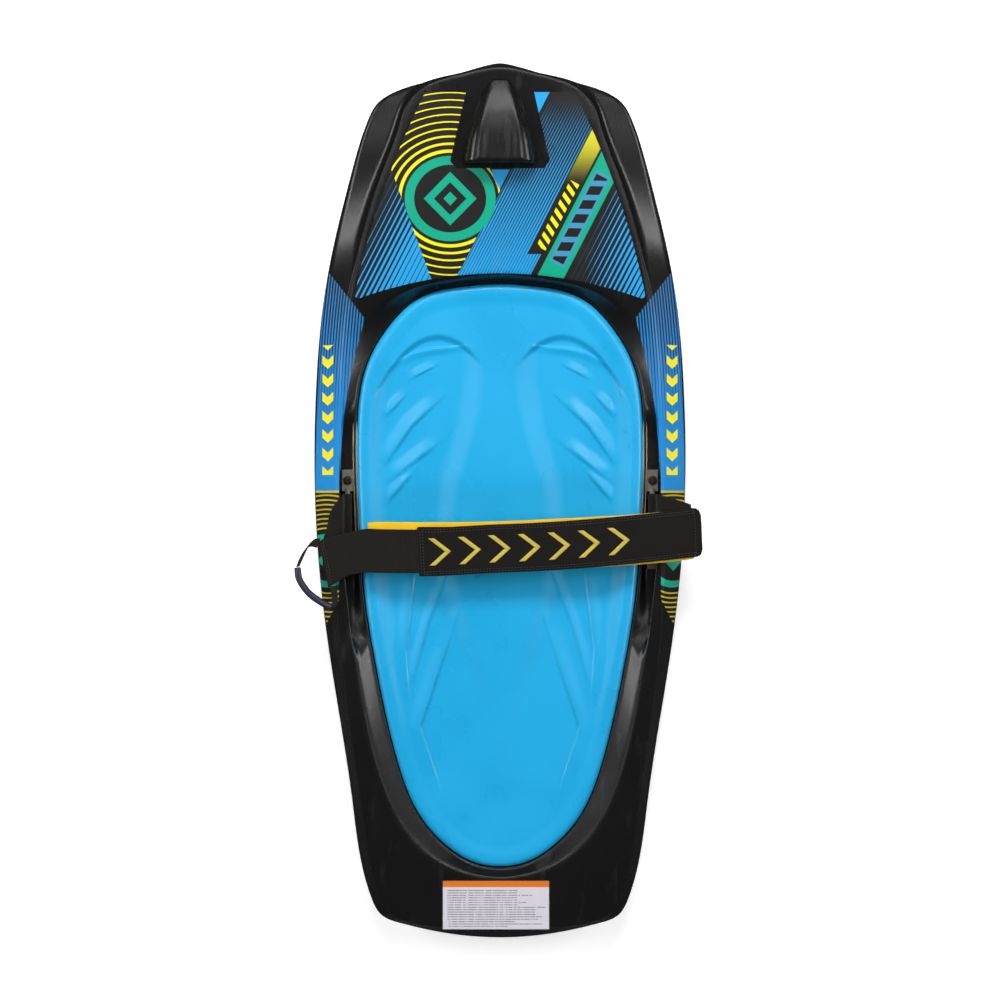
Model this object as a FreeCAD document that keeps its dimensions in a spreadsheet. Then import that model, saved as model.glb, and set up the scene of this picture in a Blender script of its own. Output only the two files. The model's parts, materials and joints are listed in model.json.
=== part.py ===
import FreeCAD, Part
import Sketcher
import math
import os

Vector = FreeCAD.Vector

# Kneeboard, deck up: +Z up, +Y to the nose, +X to the rider's right when they
# face the nose.  The origin is on the flat of the hull, at mid-length.

DIMENSIONS = {
    "board_length": 1296.0,
    "board_width": 556.0,
    "rim_height": 42.0,
    "nose_rocker": 68.0,
    "tail_rocker": 12.0,
    "rim_radius": 7.0,
    "deck_height": 79.0,
    "deck_nose_rise": 49.0,
    "deck_tail_drop": 5.0,
    "lip_height": 64.0,
    "hull_side_drop": 26.0,
    "wall": 4.0,
    "recess_floor": 44.0,
    "recess_gap": 1.2,
    "foam_gap": 0.2,
    "pad_thickness": 24.0,
    "pad_edge_radius": 9.0,
    "well_depth": 15.0,
    "anchor_offset": 227.0,
    "anchor_middle": -24.0,
    "ledge_height": 58.0,
    "pocket_floor": 50.0,
    "slot_width": 26.0,
    "ledge_play": 2.0,
    "pocket_play": 4.5,
    "bar_radius": 4.0,
    "bar_span": 84.0,
    "bar_play": 0.08,
    "rod_overlap": 8.0,
    "tab_length": 32.0,
    "tab_width": 16.0,
    "tab_thickness": 3.0,
    "screw_spacing": 116.0,
    "screw_radius": 3.0,
    "screw_clearance": 0.3,
    "head_radius": 5.2,
    "head_height": 3.2,
    "head_rounding": 1.6,
    "socket_radius": 2.34,
    "socket_depth": 1.92,
    "washer_radius": 6.6,
    "washer_thickness": 1.2,
    "insert_radius": 4.0,
    "insert_length": 12.0,
    "boss_radius": 10.8,
    "boss_floor": 8.0,
    "fit_gap": 0.05,
    "layer_gap": 0.1,
    "webbing_width": 76.0,
    "webbing_thickness": 2.1,
    "leg_thickness": 3.0,
    "leg_height": 81.6,
    "hinge_offset": 290.0,
    "hinge_height": 84.6,
    "strap_base": 86.0,
    "strap_skew": 2.8,
    "strap_middle": -40.0,
    "strap_reach": 272.0,
    "strap_rise": 12.0,
    "strap_width": 80.0,
    "cover_width": 75.0,
    "core_width": 64.0,
    "neoprene_thickness": 5.5,
    "core_thickness": 1.6,
    "cover_thickness": 1.6,
    "tail_width": 64.0,
    "tail_thickness": 2.4,
    "patch_thickness": 1.5,
    "patch_length": 18.0,
    "patch_width": 40.0,
    "tube_radius": 5.2,
    "tube_bore": 3.5,
    "cord_radius": 3.2,
    "plug_radius": 10.0,
    "plug_head_radius": 14.0,
    "plug_head_height": 1.6,
    "plug_length": 2.2,
    "label_length": 160.0,
    "label_width": 74.0,
    "label_thickness": 0.5,
    "label_corner": 3.0,
    "label_across": -6.0,
    "label_middle": -596.0,
}

doc = FreeCAD.newDocument("kneeboard")
sheet = doc.addObject("Spreadsheet::Sheet", "dimensions")
for row, (alias, value) in enumerate(DIMENSIONS.items(), start=1):
    sheet.set("A%d" % row, alias)
    sheet.set("B%d" % row, str(value))
    sheet.setAlias("B%d" % row, alias)
doc.recompute()


def size(alias):
    return float(sheet.get(alias))


LAYER_GAP = size("layer_gap")

# Cutting blocks reach this far past the surface that they open.
CLEAR = 30


# ---------------------------------------------------------------- outlines
# Each outline is half of the plan, from the nose to the tail, in millimetres
# on a board of the nominal size.  The two marks say where the nose turns into
# the side and the side into the tail, so that the outlines pair up in a loft.

NOMINAL_LENGTH = 1296.0
NOMINAL_WIDTH = 556.0

RIM = [(0, 648), (17, 645.5), (85, 627), (158, 606), (182, 590), (196, 566), (224, 479),
       (247, 390), (264, 301), (275, 183), (278, 40), (268, -130), (250, -262), (222, -440),
       (193, -588), (178, -614), (148, -627), (78, -642), (0, -648)]
RIM_MARKS = (4, 15)
SHOULDER = [(0, 628), (60, 624), (118, 613), (146, 592), (163, 552), (195, 470), (219, 385),
            (236, 290), (246, 180), (249, 40), (247, -178), (233, -278), (216, -386),
            (200, -490), (182, -570), (160, -608), (90, -628), (0, -634)]
SHOULDER_MARKS = (3, 15)
CREST = [(0, 339), (77, 330), (154, 308), (200, 268), (228, 200), (239, 110), (241, 0),
         (236, -90), (224, -163), (211, -257), (190, -368), (156, -462), (127, -505),
         (66, -544), (0, -556)]
CREST_MARKS = (2, 12)
PAD = [(0, 326.5), (60, 322), (114, 309), (165, 264), (201, 198), (212, 130), (211, 0),
       (199, -158), (184, -247), (154, -380), (116, -470), (78, -511), (40, -534), (0, -541)]
PAD_MARKS = (2, 10)
BELLY = {"front": 250, "back": -335, "half_width": 203, "squareness": 2.6}

NOSE_STATIONS = 9
SIDE_STATIONS = 26
TAIL_STATIONS = 9


def half_outline(outline, marks):
    """Points spaced evenly along each of the three stretches of a half plan."""
    wide = size("board_width") / NOMINAL_WIDTH
    long = size("board_length") / NOMINAL_LENGTH
    controls = [Vector(x * wide, y * long, 0) for x, y in outline]
    mirrored = [Vector(-p.x, p.y, 0) for p in reversed(controls[1:-1])]
    curve = Part.BSplineCurve()
    curve.interpolate(Points=controls + mirrored, PeriodicFlag=True)
    stops = [curve.FirstParameter]
    stops += [curve.parameter(controls[mark]) for mark in marks]
    stops += [curve.parameter(controls[-1])]
    edge = curve.toShape()
    half = []
    for start, end, count in zip(stops, stops[1:], (NOSE_STATIONS, SIDE_STATIONS, TAIL_STATIONS)):
        half += edge.discretize(Number=count + 1, First=start, Last=end)[:-1]
    return half + [controls[-1]]


def belly_outline():
    """Half of the hull's flat: an oval with squared-off flanks."""
    stations = NOSE_STATIONS + SIDE_STATIONS + TAIL_STATIONS
    wide = size("board_width") / NOMINAL_WIDTH
    long = size("board_length") / NOMINAL_LENGTH
    middle = (BELLY["front"] + BELLY["back"]) / 2
    reach = (BELLY["front"] - BELLY["back"]) / 2
    power = 2 / BELLY["squareness"]
    half = []
    for station in range(stations + 1):
        angle = math.pi * station / stations
        across = abs(math.sin(angle)) ** power * BELLY["half_width"]
        ahead = math.copysign(abs(math.cos(angle)) ** power, math.cos(angle)) * reach
        half.append(Vector(across * wide, (middle + ahead) * long, 0))
    return half


def inset(half, distance):
    """Move a half plan inwards, keeping its ends on the centreline."""
    moved = []
    for index, point in enumerate(half):
        before = half[index - 1] if index else Vector(-half[1].x, half[1].y, 0)
        if index + 1 < len(half):
            after = half[index + 1]
        else:
            after = Vector(-half[-2].x, half[-2].y, 0)
        along = (after - before).normalize()
        shifted = point + Vector(along.y, -along.x, 0) * distance
        moved.append(Vector(max(shifted.x, 0.0), shifted.y, 0))
    moved[0].x = 0.0
    moved[-1].x = 0.0
    return moved


def ring(half, height):
    """A closed curve through a half plan and its mirror image.

    height is a number, or a function of the distance to the nose."""
    lift = height if callable(height) else (lambda y: height)
    right = [Vector(p.x, p.y, lift(p.y)) for p in half]
    left = [Vector(-p.x, p.y, p.z) for p in reversed(right[1:-1])]
    curve = Part.BSplineCurve()
    curve.interpolate(Points=right + left, PeriodicFlag=True)
    return Part.Wire(curve.toShape())


def share(value, start, end):
    """How far value lies from start to end, held between 0 and 1."""
    return min(max((value - start) / (end - start), 0.0), 1.0)


def rim_height(y):
    half_length = size("board_length") / 2
    nose = share(y, 60, half_length) ** 2.2
    tail = share(-y, 200, half_length) ** 2
    return size("rim_height") + size("nose_rocker") * nose + size("tail_rocker") * tail


def deck_height(y):
    half_length = size("board_length") / 2
    nose = share(y, 200, half_length) ** 1.3
    tail = share(-y, 300, half_length)
    return size("deck_height") + size("deck_nose_rise") * nose - size("deck_tail_drop") * tail


def prism(half, low, high):
    """A straight-sided block on a mirrored half plan."""
    face = Part.Face(ring(half, low))
    return face.extrude(Vector(0, 0, high - low))


# ------------------------------------------------------------- board shell

rim_half = half_outline(RIM, RIM_MARKS)
shoulder_half = half_outline(SHOULDER, SHOULDER_MARKS)
crest_half = half_outline(CREST, CREST_MARKS)
pad_half = half_outline(PAD, PAD_MARKS)
belly_half = belly_outline()


# The hull's side: how far the chine and the round-over stand in from the rim, and
# where the hollow between the belly and the chine lies, as shares of the way.
CHINE_INSET = 22
ROUND_OVER = 3
HOLLOW = {"inset": 24, "belly_share": 0.45, "height_share": 0.40}

# How far each surface moves when the skin's inner face lies 1 mm below it: flat
# parts move by their depth, and sloping ones further sideways than upwards.
HULL_SIDEWAYS = 1.5
CHINE_UP = 0.8
EDGE_UP = 0.2
SHOULDER_SIDEWAYS = 0.5
DECK_DOWN = 1.1

# The lip round the knee pad stands this far outside the pad.
LIP_INSET = 2


def middle_ring(depth):
    """The hull between the belly and the chine, hollowed below the straight line."""
    chine = inset(rim_half, HOLLOW["inset"] + depth)
    belly_share = HOLLOW["belly_share"]
    half = [a * belly_share + b * (1 - belly_share) for a, b in zip(belly_half, chine)]
    drop = size("hull_side_drop")
    heights = [HOLLOW["height_share"] * (rim_height(c.y) - drop) for c in chine]
    points = [Vector(p.x, p.y, z + depth) for p, z in zip(half, heights)]
    left = [Vector(-p.x, p.y, p.z) for p in reversed(points[1:-1])]
    curve = Part.BSplineCurve()
    curve.interpolate(Points=points + left, PeriodicFlag=True)
    return Part.Wire(curve.toShape())


def board_block(depth):
    """The whole board without its hollows, its skin moved inwards by depth."""
    chine_drop = size("hull_side_drop") - depth * CHINE_UP
    edge = size("rim_radius") - depth * EDGE_UP
    deck_drop = depth * DECK_DOWN
    rings = [
        ring(inset(belly_half, depth * HULL_SIDEWAYS), depth),
        middle_ring(depth),
        ring(inset(rim_half, CHINE_INSET + depth * HULL_SIDEWAYS),
             lambda y: rim_height(y) - chine_drop),
        ring(inset(rim_half, ROUND_OVER + depth), lambda y: rim_height(y) - edge),
        ring(inset(rim_half, depth), rim_height),
        ring(inset(rim_half, ROUND_OVER + depth), lambda y: rim_height(y) + edge),
        ring(inset(shoulder_half, depth * SHOULDER_SIDEWAYS),
             lambda y: deck_height(y) - deck_drop),
        ring(crest_half, lambda y: deck_height(y) - deck_drop),
        ring(inset(pad_half, -LIP_INSET - depth), size("lip_height") - depth),
    ]
    return Part.makeLoft(rings, True, True)


def anchor_places():
    """Where the four anchor screws stand."""
    reach = size("screw_spacing") / 2
    return [Vector(side * size("anchor_offset"), size("anchor_middle") + end * reach, 0)
            for side in (-1, 1) for end in (-1, 1)]


def strap_slots(depth):
    """The two channels that hold the anchor bars: ledges at both ends, a pocket between."""
    half_width = size("slot_width") / 2 + depth
    half_ledge = size("bar_span") / 2 + size("tab_length") + size("ledge_play") + depth
    half_pocket = size("bar_span") / 2 + size("pocket_play") + depth
    top = size("deck_height") + CLEAR
    slots = []
    for side in (-1, 1):
        centre = side * size("anchor_offset")
        for half_length, floor in ((half_ledge, "ledge_height"), (half_pocket, "pocket_floor")):
            low = size(floor) - depth
            corner = Vector(centre - half_width, size("anchor_middle") - half_length, low)
            slots.append(Part.makeBox(2 * half_width, 2 * half_length, top - low, corner))
    return slots


def cavity(gap):
    """The space inside the skin, smaller all round by gap."""
    depth = size("wall") + gap
    space = board_block(depth)
    floor = size("recess_floor") - depth
    outline = inset(pad_half, -size("recess_gap") - depth)
    blocks = [prism(outline, floor, size("deck_height") + CLEAR)]
    blocks += strap_slots(depth)
    boss = size("boss_radius") + gap
    base = size("ledge_height") - size("insert_length") - size("boss_floor") - gap
    for place in anchor_places():
        foot = Vector(place.x, place.y, base)
        blocks.append(Part.makeCylinder(boss, size("ledge_height") + CLEAR - base, foot))
    return space.cut(blocks)


ARCH = {"root": 6, "squareness": 0.65, "steps": 12}


def arch_section(y, half_width, height):
    """A flat-topped arch across the board, rooted in the deck at y."""
    base = deck_height(y) - ARCH["root"]
    power = ARCH["squareness"]
    points = []
    for step in range(ARCH["steps"] + 1):
        angle = math.pi * step / ARCH["steps"]
        cos = math.cos(angle)
        across = math.copysign(abs(cos) ** power, cos) * half_width
        points.append(Vector(across, y, deck_height(y) + math.sin(angle) ** power * height))
    curve = Part.BSplineCurve()
    curve.interpolate(Points=points)
    low_right = Vector(half_width, y, base)
    low_left = Vector(-half_width, y, base)
    return Part.Wire([Part.makeLine(low_right, points[0]), curve.toShape(),
                      Part.makeLine(points[-1], low_left), Part.makeLine(low_left, low_right)])


# Distance to the nose, half width and height of the hook's sections.
TOW_HOOK = [(618, 10, 2), (596, 26, 12), (571, 34, 22), (540, 43.5, 31), (498, 50, 38)]
HOOK_MOUTH = {"half_width": 36, "front": 532, "back": 490, "clear": 25, "sill": 1}


def tow_hook():
    """The hump on the nose whose open back end holds the tow-rope handle."""
    sections = [arch_section(y, half_width, height) for y, half_width, height in TOW_HOOK]
    hump = Part.makeLoft(sections, True, True)
    floor = deck_height(HOOK_MOUTH["front"]) + HOOK_MOUTH["sill"]
    mouth = Part.makeBox(2 * HOOK_MOUTH["half_width"], HOOK_MOUTH["front"] - HOOK_MOUTH["back"],
                         HOOK_MOUTH["clear"],
                         Vector(-HOOK_MOUTH["half_width"], HOOK_MOUTH["back"], floor))
    return hump.cut(mouth)


FIN = {"offset": 125, "front": -470, "back": -590, "low": 5, "toe": 24, "top": 26,
       "thickness": 9}


def fins():
    """Two keels under the tail, moulded in one with the hull."""
    shapes = []
    for side in (-1, 1):
        inner = side * FIN["offset"] - FIN["thickness"] / 2
        profile = Part.makePolygon([
            Vector(inner, FIN["front"], FIN["top"]),
            Vector(inner, FIN["back"] + FIN["toe"], FIN["low"]),
            Vector(inner, FIN["back"], FIN["low"]), Vector(inner, FIN["back"], FIN["top"]),
            Vector(inner, FIN["front"], FIN["top"])])
        shapes.append(Part.Face(profile).extrude(Vector(FIN["thickness"], 0, 0)))
    return shapes


PORT_PLACE = Vector(0, -300, 0)
BLIND_DEPTH = 1


def shell_holes():
    """Blind holes for the threaded inserts, and the port the foam was poured through."""
    hole = size("insert_radius") + size("fit_gap")
    bottom = size("ledge_height") - size("insert_length") - BLIND_DEPTH
    cuts = [Part.makeCylinder(hole, CLEAR, Vector(place.x, place.y, bottom))
            for place in anchor_places()]
    port = size("recess_floor") - 1.5 * size("wall")
    sink = size("recess_floor") - size("plug_head_height") - 2 * LAYER_GAP
    for alias, floor in (("plug_radius", port), ("plug_head_radius", sink)):
        cuts.append(Part.makeCylinder(size(alias) + size("fit_gap"), CLEAR,
                                      PORT_PLACE + Vector(0, 0, floor)))
    return cuts


def shell_shape():
    block = board_block(0.0)
    recess = prism(inset(pad_half, -size("recess_gap")), size("recess_floor"),
                   size("deck_height") + CLEAR)
    body = block.cut([recess] + strap_slots(0.0))
    body = body.fuse([tow_hook()] + fins())
    return body.cut([cavity(0.0)] + shell_holes())


def add_feature(label, shape, placement=None):
    """A sub-part whose shape comes from curves that no standard feature makes."""
    feature = doc.addObject("Part::Feature", label)
    feature.Label = label
    feature.Shape = shape
    if placement is not None:
        feature.Placement = placement
    return feature


add_feature("board_shell", shell_shape())
add_feature("foam_core", cavity(size("foam_gap")))


KNEE_WELL = {"half_width": 78, "half_length": 240, "offset": 104, "middle": -20}
EDGE_STEPS = 3


def knee_pad_shape():
    """A closed foam slab with a rounded rim and two shallow knee wells."""
    low = size("recess_floor") + LAYER_GAP
    top = low + size("pad_thickness")
    radius = size("pad_edge_radius")
    rings = [ring(pad_half, low)]
    for step in range(EDGE_STEPS + 1):
        angle = math.pi / 2 * step / EDGE_STEPS
        rings.append(ring(inset(pad_half, radius * (1 - math.cos(angle))),
                          top - radius * (1 - math.sin(angle))))
    slab = Part.makeLoft(rings, True, True)
    wells = []
    for side in (-1, 1):
        stretch = FreeCAD.Matrix()
        stretch.scale(KNEE_WELL["half_width"], KNEE_WELL["half_length"], size("well_depth"))
        stretch.move(side * KNEE_WELL["offset"], KNEE_WELL["middle"], top)
        wells.append(Part.makeSphere(1.0).transformGeometry(stretch))
    return slab.cut(wells)


add_feature("knee_pad", knee_pad_shape())


# ---------------------------------------------------- machined and small parts

def add_body(label):
    body = doc.addObject("PartDesign::Body", label)
    body.Label = label
    return body


def add_sketch(body, name, role):
    """An empty sketch on one of the body's own origin planes."""
    sketch = body.newObject("Sketcher::SketchObject", name)
    plane = [f for f in body.Origin.OriginFeatures if f.Role == role][0]
    sketch.AttachmentSupport = [(plane, "")]
    sketch.MapMode = "FlatFace"
    return sketch


def bind(sketch, constraint, expression):
    index = sketch.addConstraint(constraint)
    sketch.setExpression("Constraints[%d]" % index, expression)


def mark_point(sketch, middle, expression):
    """A construction point on the sketch's vertical axis, middle above the origin."""
    point = sketch.addGeometry(Part.Point(Vector(0, middle, 0)), True)
    if expression is None:
        sketch.addConstraint(Sketcher.Constraint("Coincident", point, 1, -1, 1))
        return point
    sketch.addConstraint(Sketcher.Constraint("PointOnObject", point, 1, -2))
    ends = (-1, 1, point, 1) if middle > 0 else (point, 1, -1, 1)
    bind(sketch, Sketcher.Constraint("DistanceY", *ends, abs(middle)), expression)
    return point


def draw_circle(sketch, radius, expression, middle=0.0, middle_expression=None):
    circle = Part.Circle(Vector(0, middle, 0), Vector(0, 0, 1), radius)
    index = sketch.addGeometry(circle)
    point = mark_point(sketch, middle, middle_expression)
    sketch.addConstraint(Sketcher.Constraint("Coincident", index, 3, point, 1))
    bind(sketch, Sketcher.Constraint("Radius", index, radius), expression)


def draw_box(sketch, width, height, expressions, middle=0.0, middle_expression=None):
    """A rectangle centred on the sketch's vertical axis."""
    x = width / 2
    y = height / 2
    corners = [Vector(-x, middle - y, 0), Vector(x, middle - y, 0), Vector(x, middle + y, 0),
               Vector(-x, middle + y, 0)]
    lines = [sketch.addGeometry(Part.LineSegment(corners[i], corners[(i + 1) % 4]))
             for i in range(4)]
    for i in range(4):
        sketch.addConstraint(Sketcher.Constraint("Coincident", lines[i], 2, lines[(i + 1) % 4], 1))
        kind = "Horizontal" if i % 2 == 0 else "Vertical"
        sketch.addConstraint(Sketcher.Constraint(kind, lines[i]))
    point = mark_point(sketch, middle, middle_expression)
    sketch.addConstraint(Sketcher.Constraint("Symmetric", lines[0], 1, lines[2], 1, point, 1))
    bind(sketch, Sketcher.Constraint("DistanceX", lines[0], 1, lines[0], 2, width),
         expressions[0])
    bind(sketch, Sketcher.Constraint("DistanceY", lines[1], 1, lines[1], 2, height),
         expressions[1])


def draw_loop(sketch, points):
    """A closed chain of straight lines, its corners held where they are drawn."""
    for index, point in enumerate(points):
        after = points[(index + 1) % len(points)]
        line = sketch.addGeometry(Part.LineSegment(Vector(*point, 0), Vector(*after, 0)))
        sketch.addConstraint(Sketcher.Constraint("Block", line))


def add_pad(body, name, sketch, expression, both_ways=False):
    pad = body.newObject("PartDesign::Pad", name)
    pad.Profile = sketch
    pad.setExpression("Length", expression)
    if both_ways:
        pad.SideType = "Symmetric"
    doc.recompute()
    return pad


def add_through_cut(body, name, sketch):
    pocket = body.newObject("PartDesign::Pocket", name)
    pocket.Profile = sketch
    pocket.Type = "ThroughAll"
    pocket.SideType = "Symmetric"
    before = body.Shape.Volume
    doc.recompute()
    if body.Shape.Volume >= before:
        raise RuntimeError(body.Label + ": " + name + " cut nothing")
    return pocket


def add_anchor_bar(label, side):
    """A round bar between two flat tabs with screw holes, lying along the board."""
    body = add_body(label)
    rod = add_sketch(body, label + "_rod_section", "XZ_Plane")
    draw_circle(rod, size("bar_radius"), "dimensions.bar_radius")
    add_pad(body, label + "_rod", rod, "dimensions.bar_span + dimensions.rod_overlap", True)
    tabs = add_sketch(body, label + "_tab_plan", "XY_Plane")
    reach = size("bar_span") / 2 + size("tab_length") / 2
    for end in (-1, 1):
        draw_box(tabs, size("tab_width"), size("tab_length"),
                 ("dimensions.tab_width", "dimensions.tab_length"),
                 end * reach, "dimensions.bar_span / 2 + dimensions.tab_length / 2")
    add_pad(body, label + "_tabs", tabs, "dimensions.tab_thickness", True)
    holes = add_sketch(body, label + "_holes", "XY_Plane")
    for end in (-1, 1):
        draw_circle(holes, size("screw_radius") + size("screw_clearance"),
                    "dimensions.screw_radius + dimensions.screw_clearance",
                    end * size("screw_spacing") / 2, "dimensions.screw_spacing / 2")
    add_through_cut(body, label + "_hole_cut", holes)
    body.Placement.Base = Vector(side * size("anchor_offset"), size("anchor_middle"),
                                 size("ledge_height") + LAYER_GAP + size("tab_thickness") / 2)
    return body


add_anchor_bar("left_anchor_bar", -1)
add_anchor_bar("right_anchor_bar", 1)


def add_ring_body(label, outer, outer_expression, inner, inner_expression, height_expression):
    """A washer-like piece standing on its own XY plane."""
    body = add_body(label)
    plan = add_sketch(body, label + "_plan", "XY_Plane")
    draw_circle(plan, outer, outer_expression)
    draw_circle(plan, inner, inner_expression)
    add_pad(body, label + "_pad", plan, height_expression)
    return body


TOLERANCE = 0.01


def add_screw(label):
    """A button-head screw with a hexagonal socket, its head resting on z = 0."""
    body = add_body(label)
    shank = add_sketch(body, label + "_shank_plan", "XY_Plane")
    draw_circle(shank, size("screw_radius"), "dimensions.screw_radius")
    shaft = add_pad(body, label + "_shank", shank, "dimensions.insert_length")
    shaft.Reversed = True
    head = add_sketch(body, label + "_head_plan", "XY_Plane")
    draw_circle(head, size("head_radius"), "dimensions.head_radius")
    add_pad(body, label + "_head", head, "dimensions.head_height")
    socket = add_sketch(body, label + "_socket_plan", "XY_Plane")
    socket.AttachmentOffset.Base.z = size("head_height")
    reach = size("socket_radius")
    corners = [(reach * math.cos(math.pi / 3 * k), reach * math.sin(math.pi / 3 * k))
               for k in range(6)]
    draw_loop(socket, corners)
    cut = body.newObject("PartDesign::Pocket", label + "_socket")
    cut.Profile = socket
    cut.setExpression("Length", "dimensions.socket_depth")
    doc.recompute()
    rim = [("Edge%d" % (i + 1)) for i, edge in enumerate(body.Shape.Edges)
           if isinstance(edge.Curve, Part.Circle)
           and abs(edge.Curve.Radius - size("head_radius")) < TOLERANCE
           and edge.Curve.Center.z > size("head_height") - TOLERANCE]
    dome = body.newObject("PartDesign::Fillet", label + "_dome")
    dome.Base = (cut, rim)
    dome.setExpression("Radius", "dimensions.head_rounding")
    doc.recompute()
    return body


def add_group(label, pieces):
    """Identical fasteners kept together as one sub-part of separate solids."""
    group = doc.addObject("Part::Compound", label)
    group.Label = label
    group.Links = pieces
    return group


ledge = size("ledge_height") + LAYER_GAP
washer_base = ledge + size("tab_thickness") + LAYER_GAP
head_base = washer_base + size("washer_thickness") + LAYER_GAP
screws = []
washers = []
inserts = []
for number, place in enumerate(anchor_places(), start=1):
    screw = add_screw("screw_%d" % number)
    screw.Placement.Base = place + Vector(0, 0, head_base)
    screws.append(screw)
    washer = add_ring_body("washer_%d" % number, size("washer_radius"),
                           "dimensions.washer_radius",
                           size("screw_radius") + size("screw_clearance"),
                           "dimensions.screw_radius + dimensions.screw_clearance",
                           "dimensions.washer_thickness")
    washer.Placement.Base = place + Vector(0, 0, washer_base)
    washers.append(washer)
    insert = add_ring_body("insert_%d" % number, size("insert_radius"),
                           "dimensions.insert_radius", size("screw_radius") + size("fit_gap"),
                           "dimensions.screw_radius + dimensions.fit_gap",
                           "dimensions.insert_length")
    insert.Placement.Base = place + Vector(0, 0, size("ledge_height") - size("insert_length"))
    inserts.append(insert)
add_group("anchor_screws", screws)
add_group("anchor_washers", washers)
add_group("threaded_inserts", inserts)


def add_port_plug():
    """The plug that closes the port the foam was poured through, below the pad."""
    body = add_body("foam_port_plug")
    head = add_sketch(body, "plug_head_plan", "XY_Plane")
    draw_circle(head, size("plug_head_radius"), "dimensions.plug_head_radius")
    add_pad(body, "plug_head", head, "dimensions.plug_head_height")
    shank = add_sketch(body, "plug_shank_plan", "XY_Plane")
    draw_circle(shank, size("plug_radius"), "dimensions.plug_radius")
    shaft = add_pad(body, "plug_shank", shank, "dimensions.plug_length")
    shaft.Reversed = True
    doc.recompute()
    seat = size("recess_floor") - size("plug_head_height") - LAYER_GAP
    body.Placement.Base = PORT_PLACE + Vector(0, 0, seat)


add_port_plug()


LABEL_STANDOFF = 0.6
UPRIGHT = 0.9


def add_info_label():
    """A thin blank plate with round corners on the tail deck."""
    body = add_body("info_label")
    plan = add_sketch(body, "label_plan", "XY_Plane")
    draw_box(plan, size("label_length"), size("label_width"),
             ("dimensions.label_length", "dimensions.label_width"))
    blank = add_pad(body, "label_blank", plan, "dimensions.label_thickness")
    upright = [("Edge%d" % (i + 1)) for i, edge in enumerate(body.Shape.Edges)
               if abs(edge.tangentAt(edge.FirstParameter).z) > UPRIGHT]
    corners = body.newObject("PartDesign::Fillet", "label_corners")
    corners.Base = (blank, upright)
    corners.setExpression("Radius", "dimensions.label_corner")
    middle = size("label_middle")
    width = size("label_width")
    rise = deck_height(middle + width / 2) - deck_height(middle - width / 2)
    place = Vector(size("label_across"), middle, deck_height(middle) + LABEL_STANDOFF)
    slope = math.degrees(math.atan2(rise, width))
    body.Placement = FreeCAD.Placement(place, FreeCAD.Rotation(Vector(1, 0, 0), slope))


add_info_label()


# ------------------------------------------------------------ padded strap

strap_turn = FreeCAD.Rotation(Vector(0, 0, 1), size("strap_skew"))
hinge_point = Vector(size("hinge_offset"), size("strap_middle"), size("hinge_height"))
arc_radius = (size("strap_reach") ** 2 + size("strap_rise") ** 2) / (2 * size("strap_rise"))


def strap_height(back, lift):
    """Height above the hinge of a layer lift above the strap's underside."""
    offset = back - size("strap_reach")
    base = size("strap_base") - size("hinge_height")
    drop = arc_radius - size("strap_rise") - base
    return math.sqrt((arc_radius + lift) ** 2 - offset ** 2) - drop


def strap_point(back, lift, across=0.0):
    """A point of the strap, back from the hinge towards the left rail."""
    return hinge_point + strap_turn.multVec(Vector(-back, across, strap_height(back, lift)))


def add_strap_layer(label, start, end, lift, thickness, width_alias):
    """One arched layer of the strap, extruded across its width."""
    body = add_body(label)
    section = add_sketch(body, label + "_section", "XZ_Plane")
    low = [Vector(-back, strap_height(back, lift), 0) for back in (start, (start + end) / 2, end)]
    high = [Vector(-back, strap_height(back, lift + thickness), 0)
            for back in (start, (start + end) / 2, end)]
    edges = [Part.Arc(*low), Part.LineSegment(low[2], high[2]), Part.Arc(*high),
             Part.LineSegment(high[0], low[0])]
    for edge in edges:
        index = section.addGeometry(edge)
        section.addConstraint(Sketcher.Constraint("Block", index))
    add_pad(body, label + "_pad", section, "dimensions." + width_alias, True)
    body.Placement = FreeCAD.Placement(hinge_point, strap_turn)
    return body


# Distances back from the hinge along the strap.
PAD_START = -5
PAD_END = 484
CORE_END = 410
COVER_START = -8
COVER_END = 412
TAIL_BACKS = (418, 440, 465, 490)

core_lift = size("neoprene_thickness") + LAYER_GAP
cover_lift = core_lift + size("core_thickness") + LAYER_GAP
thread_lift = cover_lift + size("cover_thickness") + LAYER_GAP
add_strap_layer("strap_pad", PAD_START, PAD_END, 0.0, size("neoprene_thickness"),
                "strap_width")
add_strap_layer("strap_core", PAD_START, CORE_END, core_lift, size("core_thickness"),
                "core_width")
add_strap_layer("strap_cover", COVER_START, COVER_END, cover_lift, size("cover_thickness"),
                "cover_width")

CHEVRON = {"first": 132, "pitch": 44, "count": 7, "reach": 20, "point": 24, "stroke": 9}
THREAD = {"backs": (60, 240, 410), "half_width": 60, "thickness": 0.8}


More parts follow.
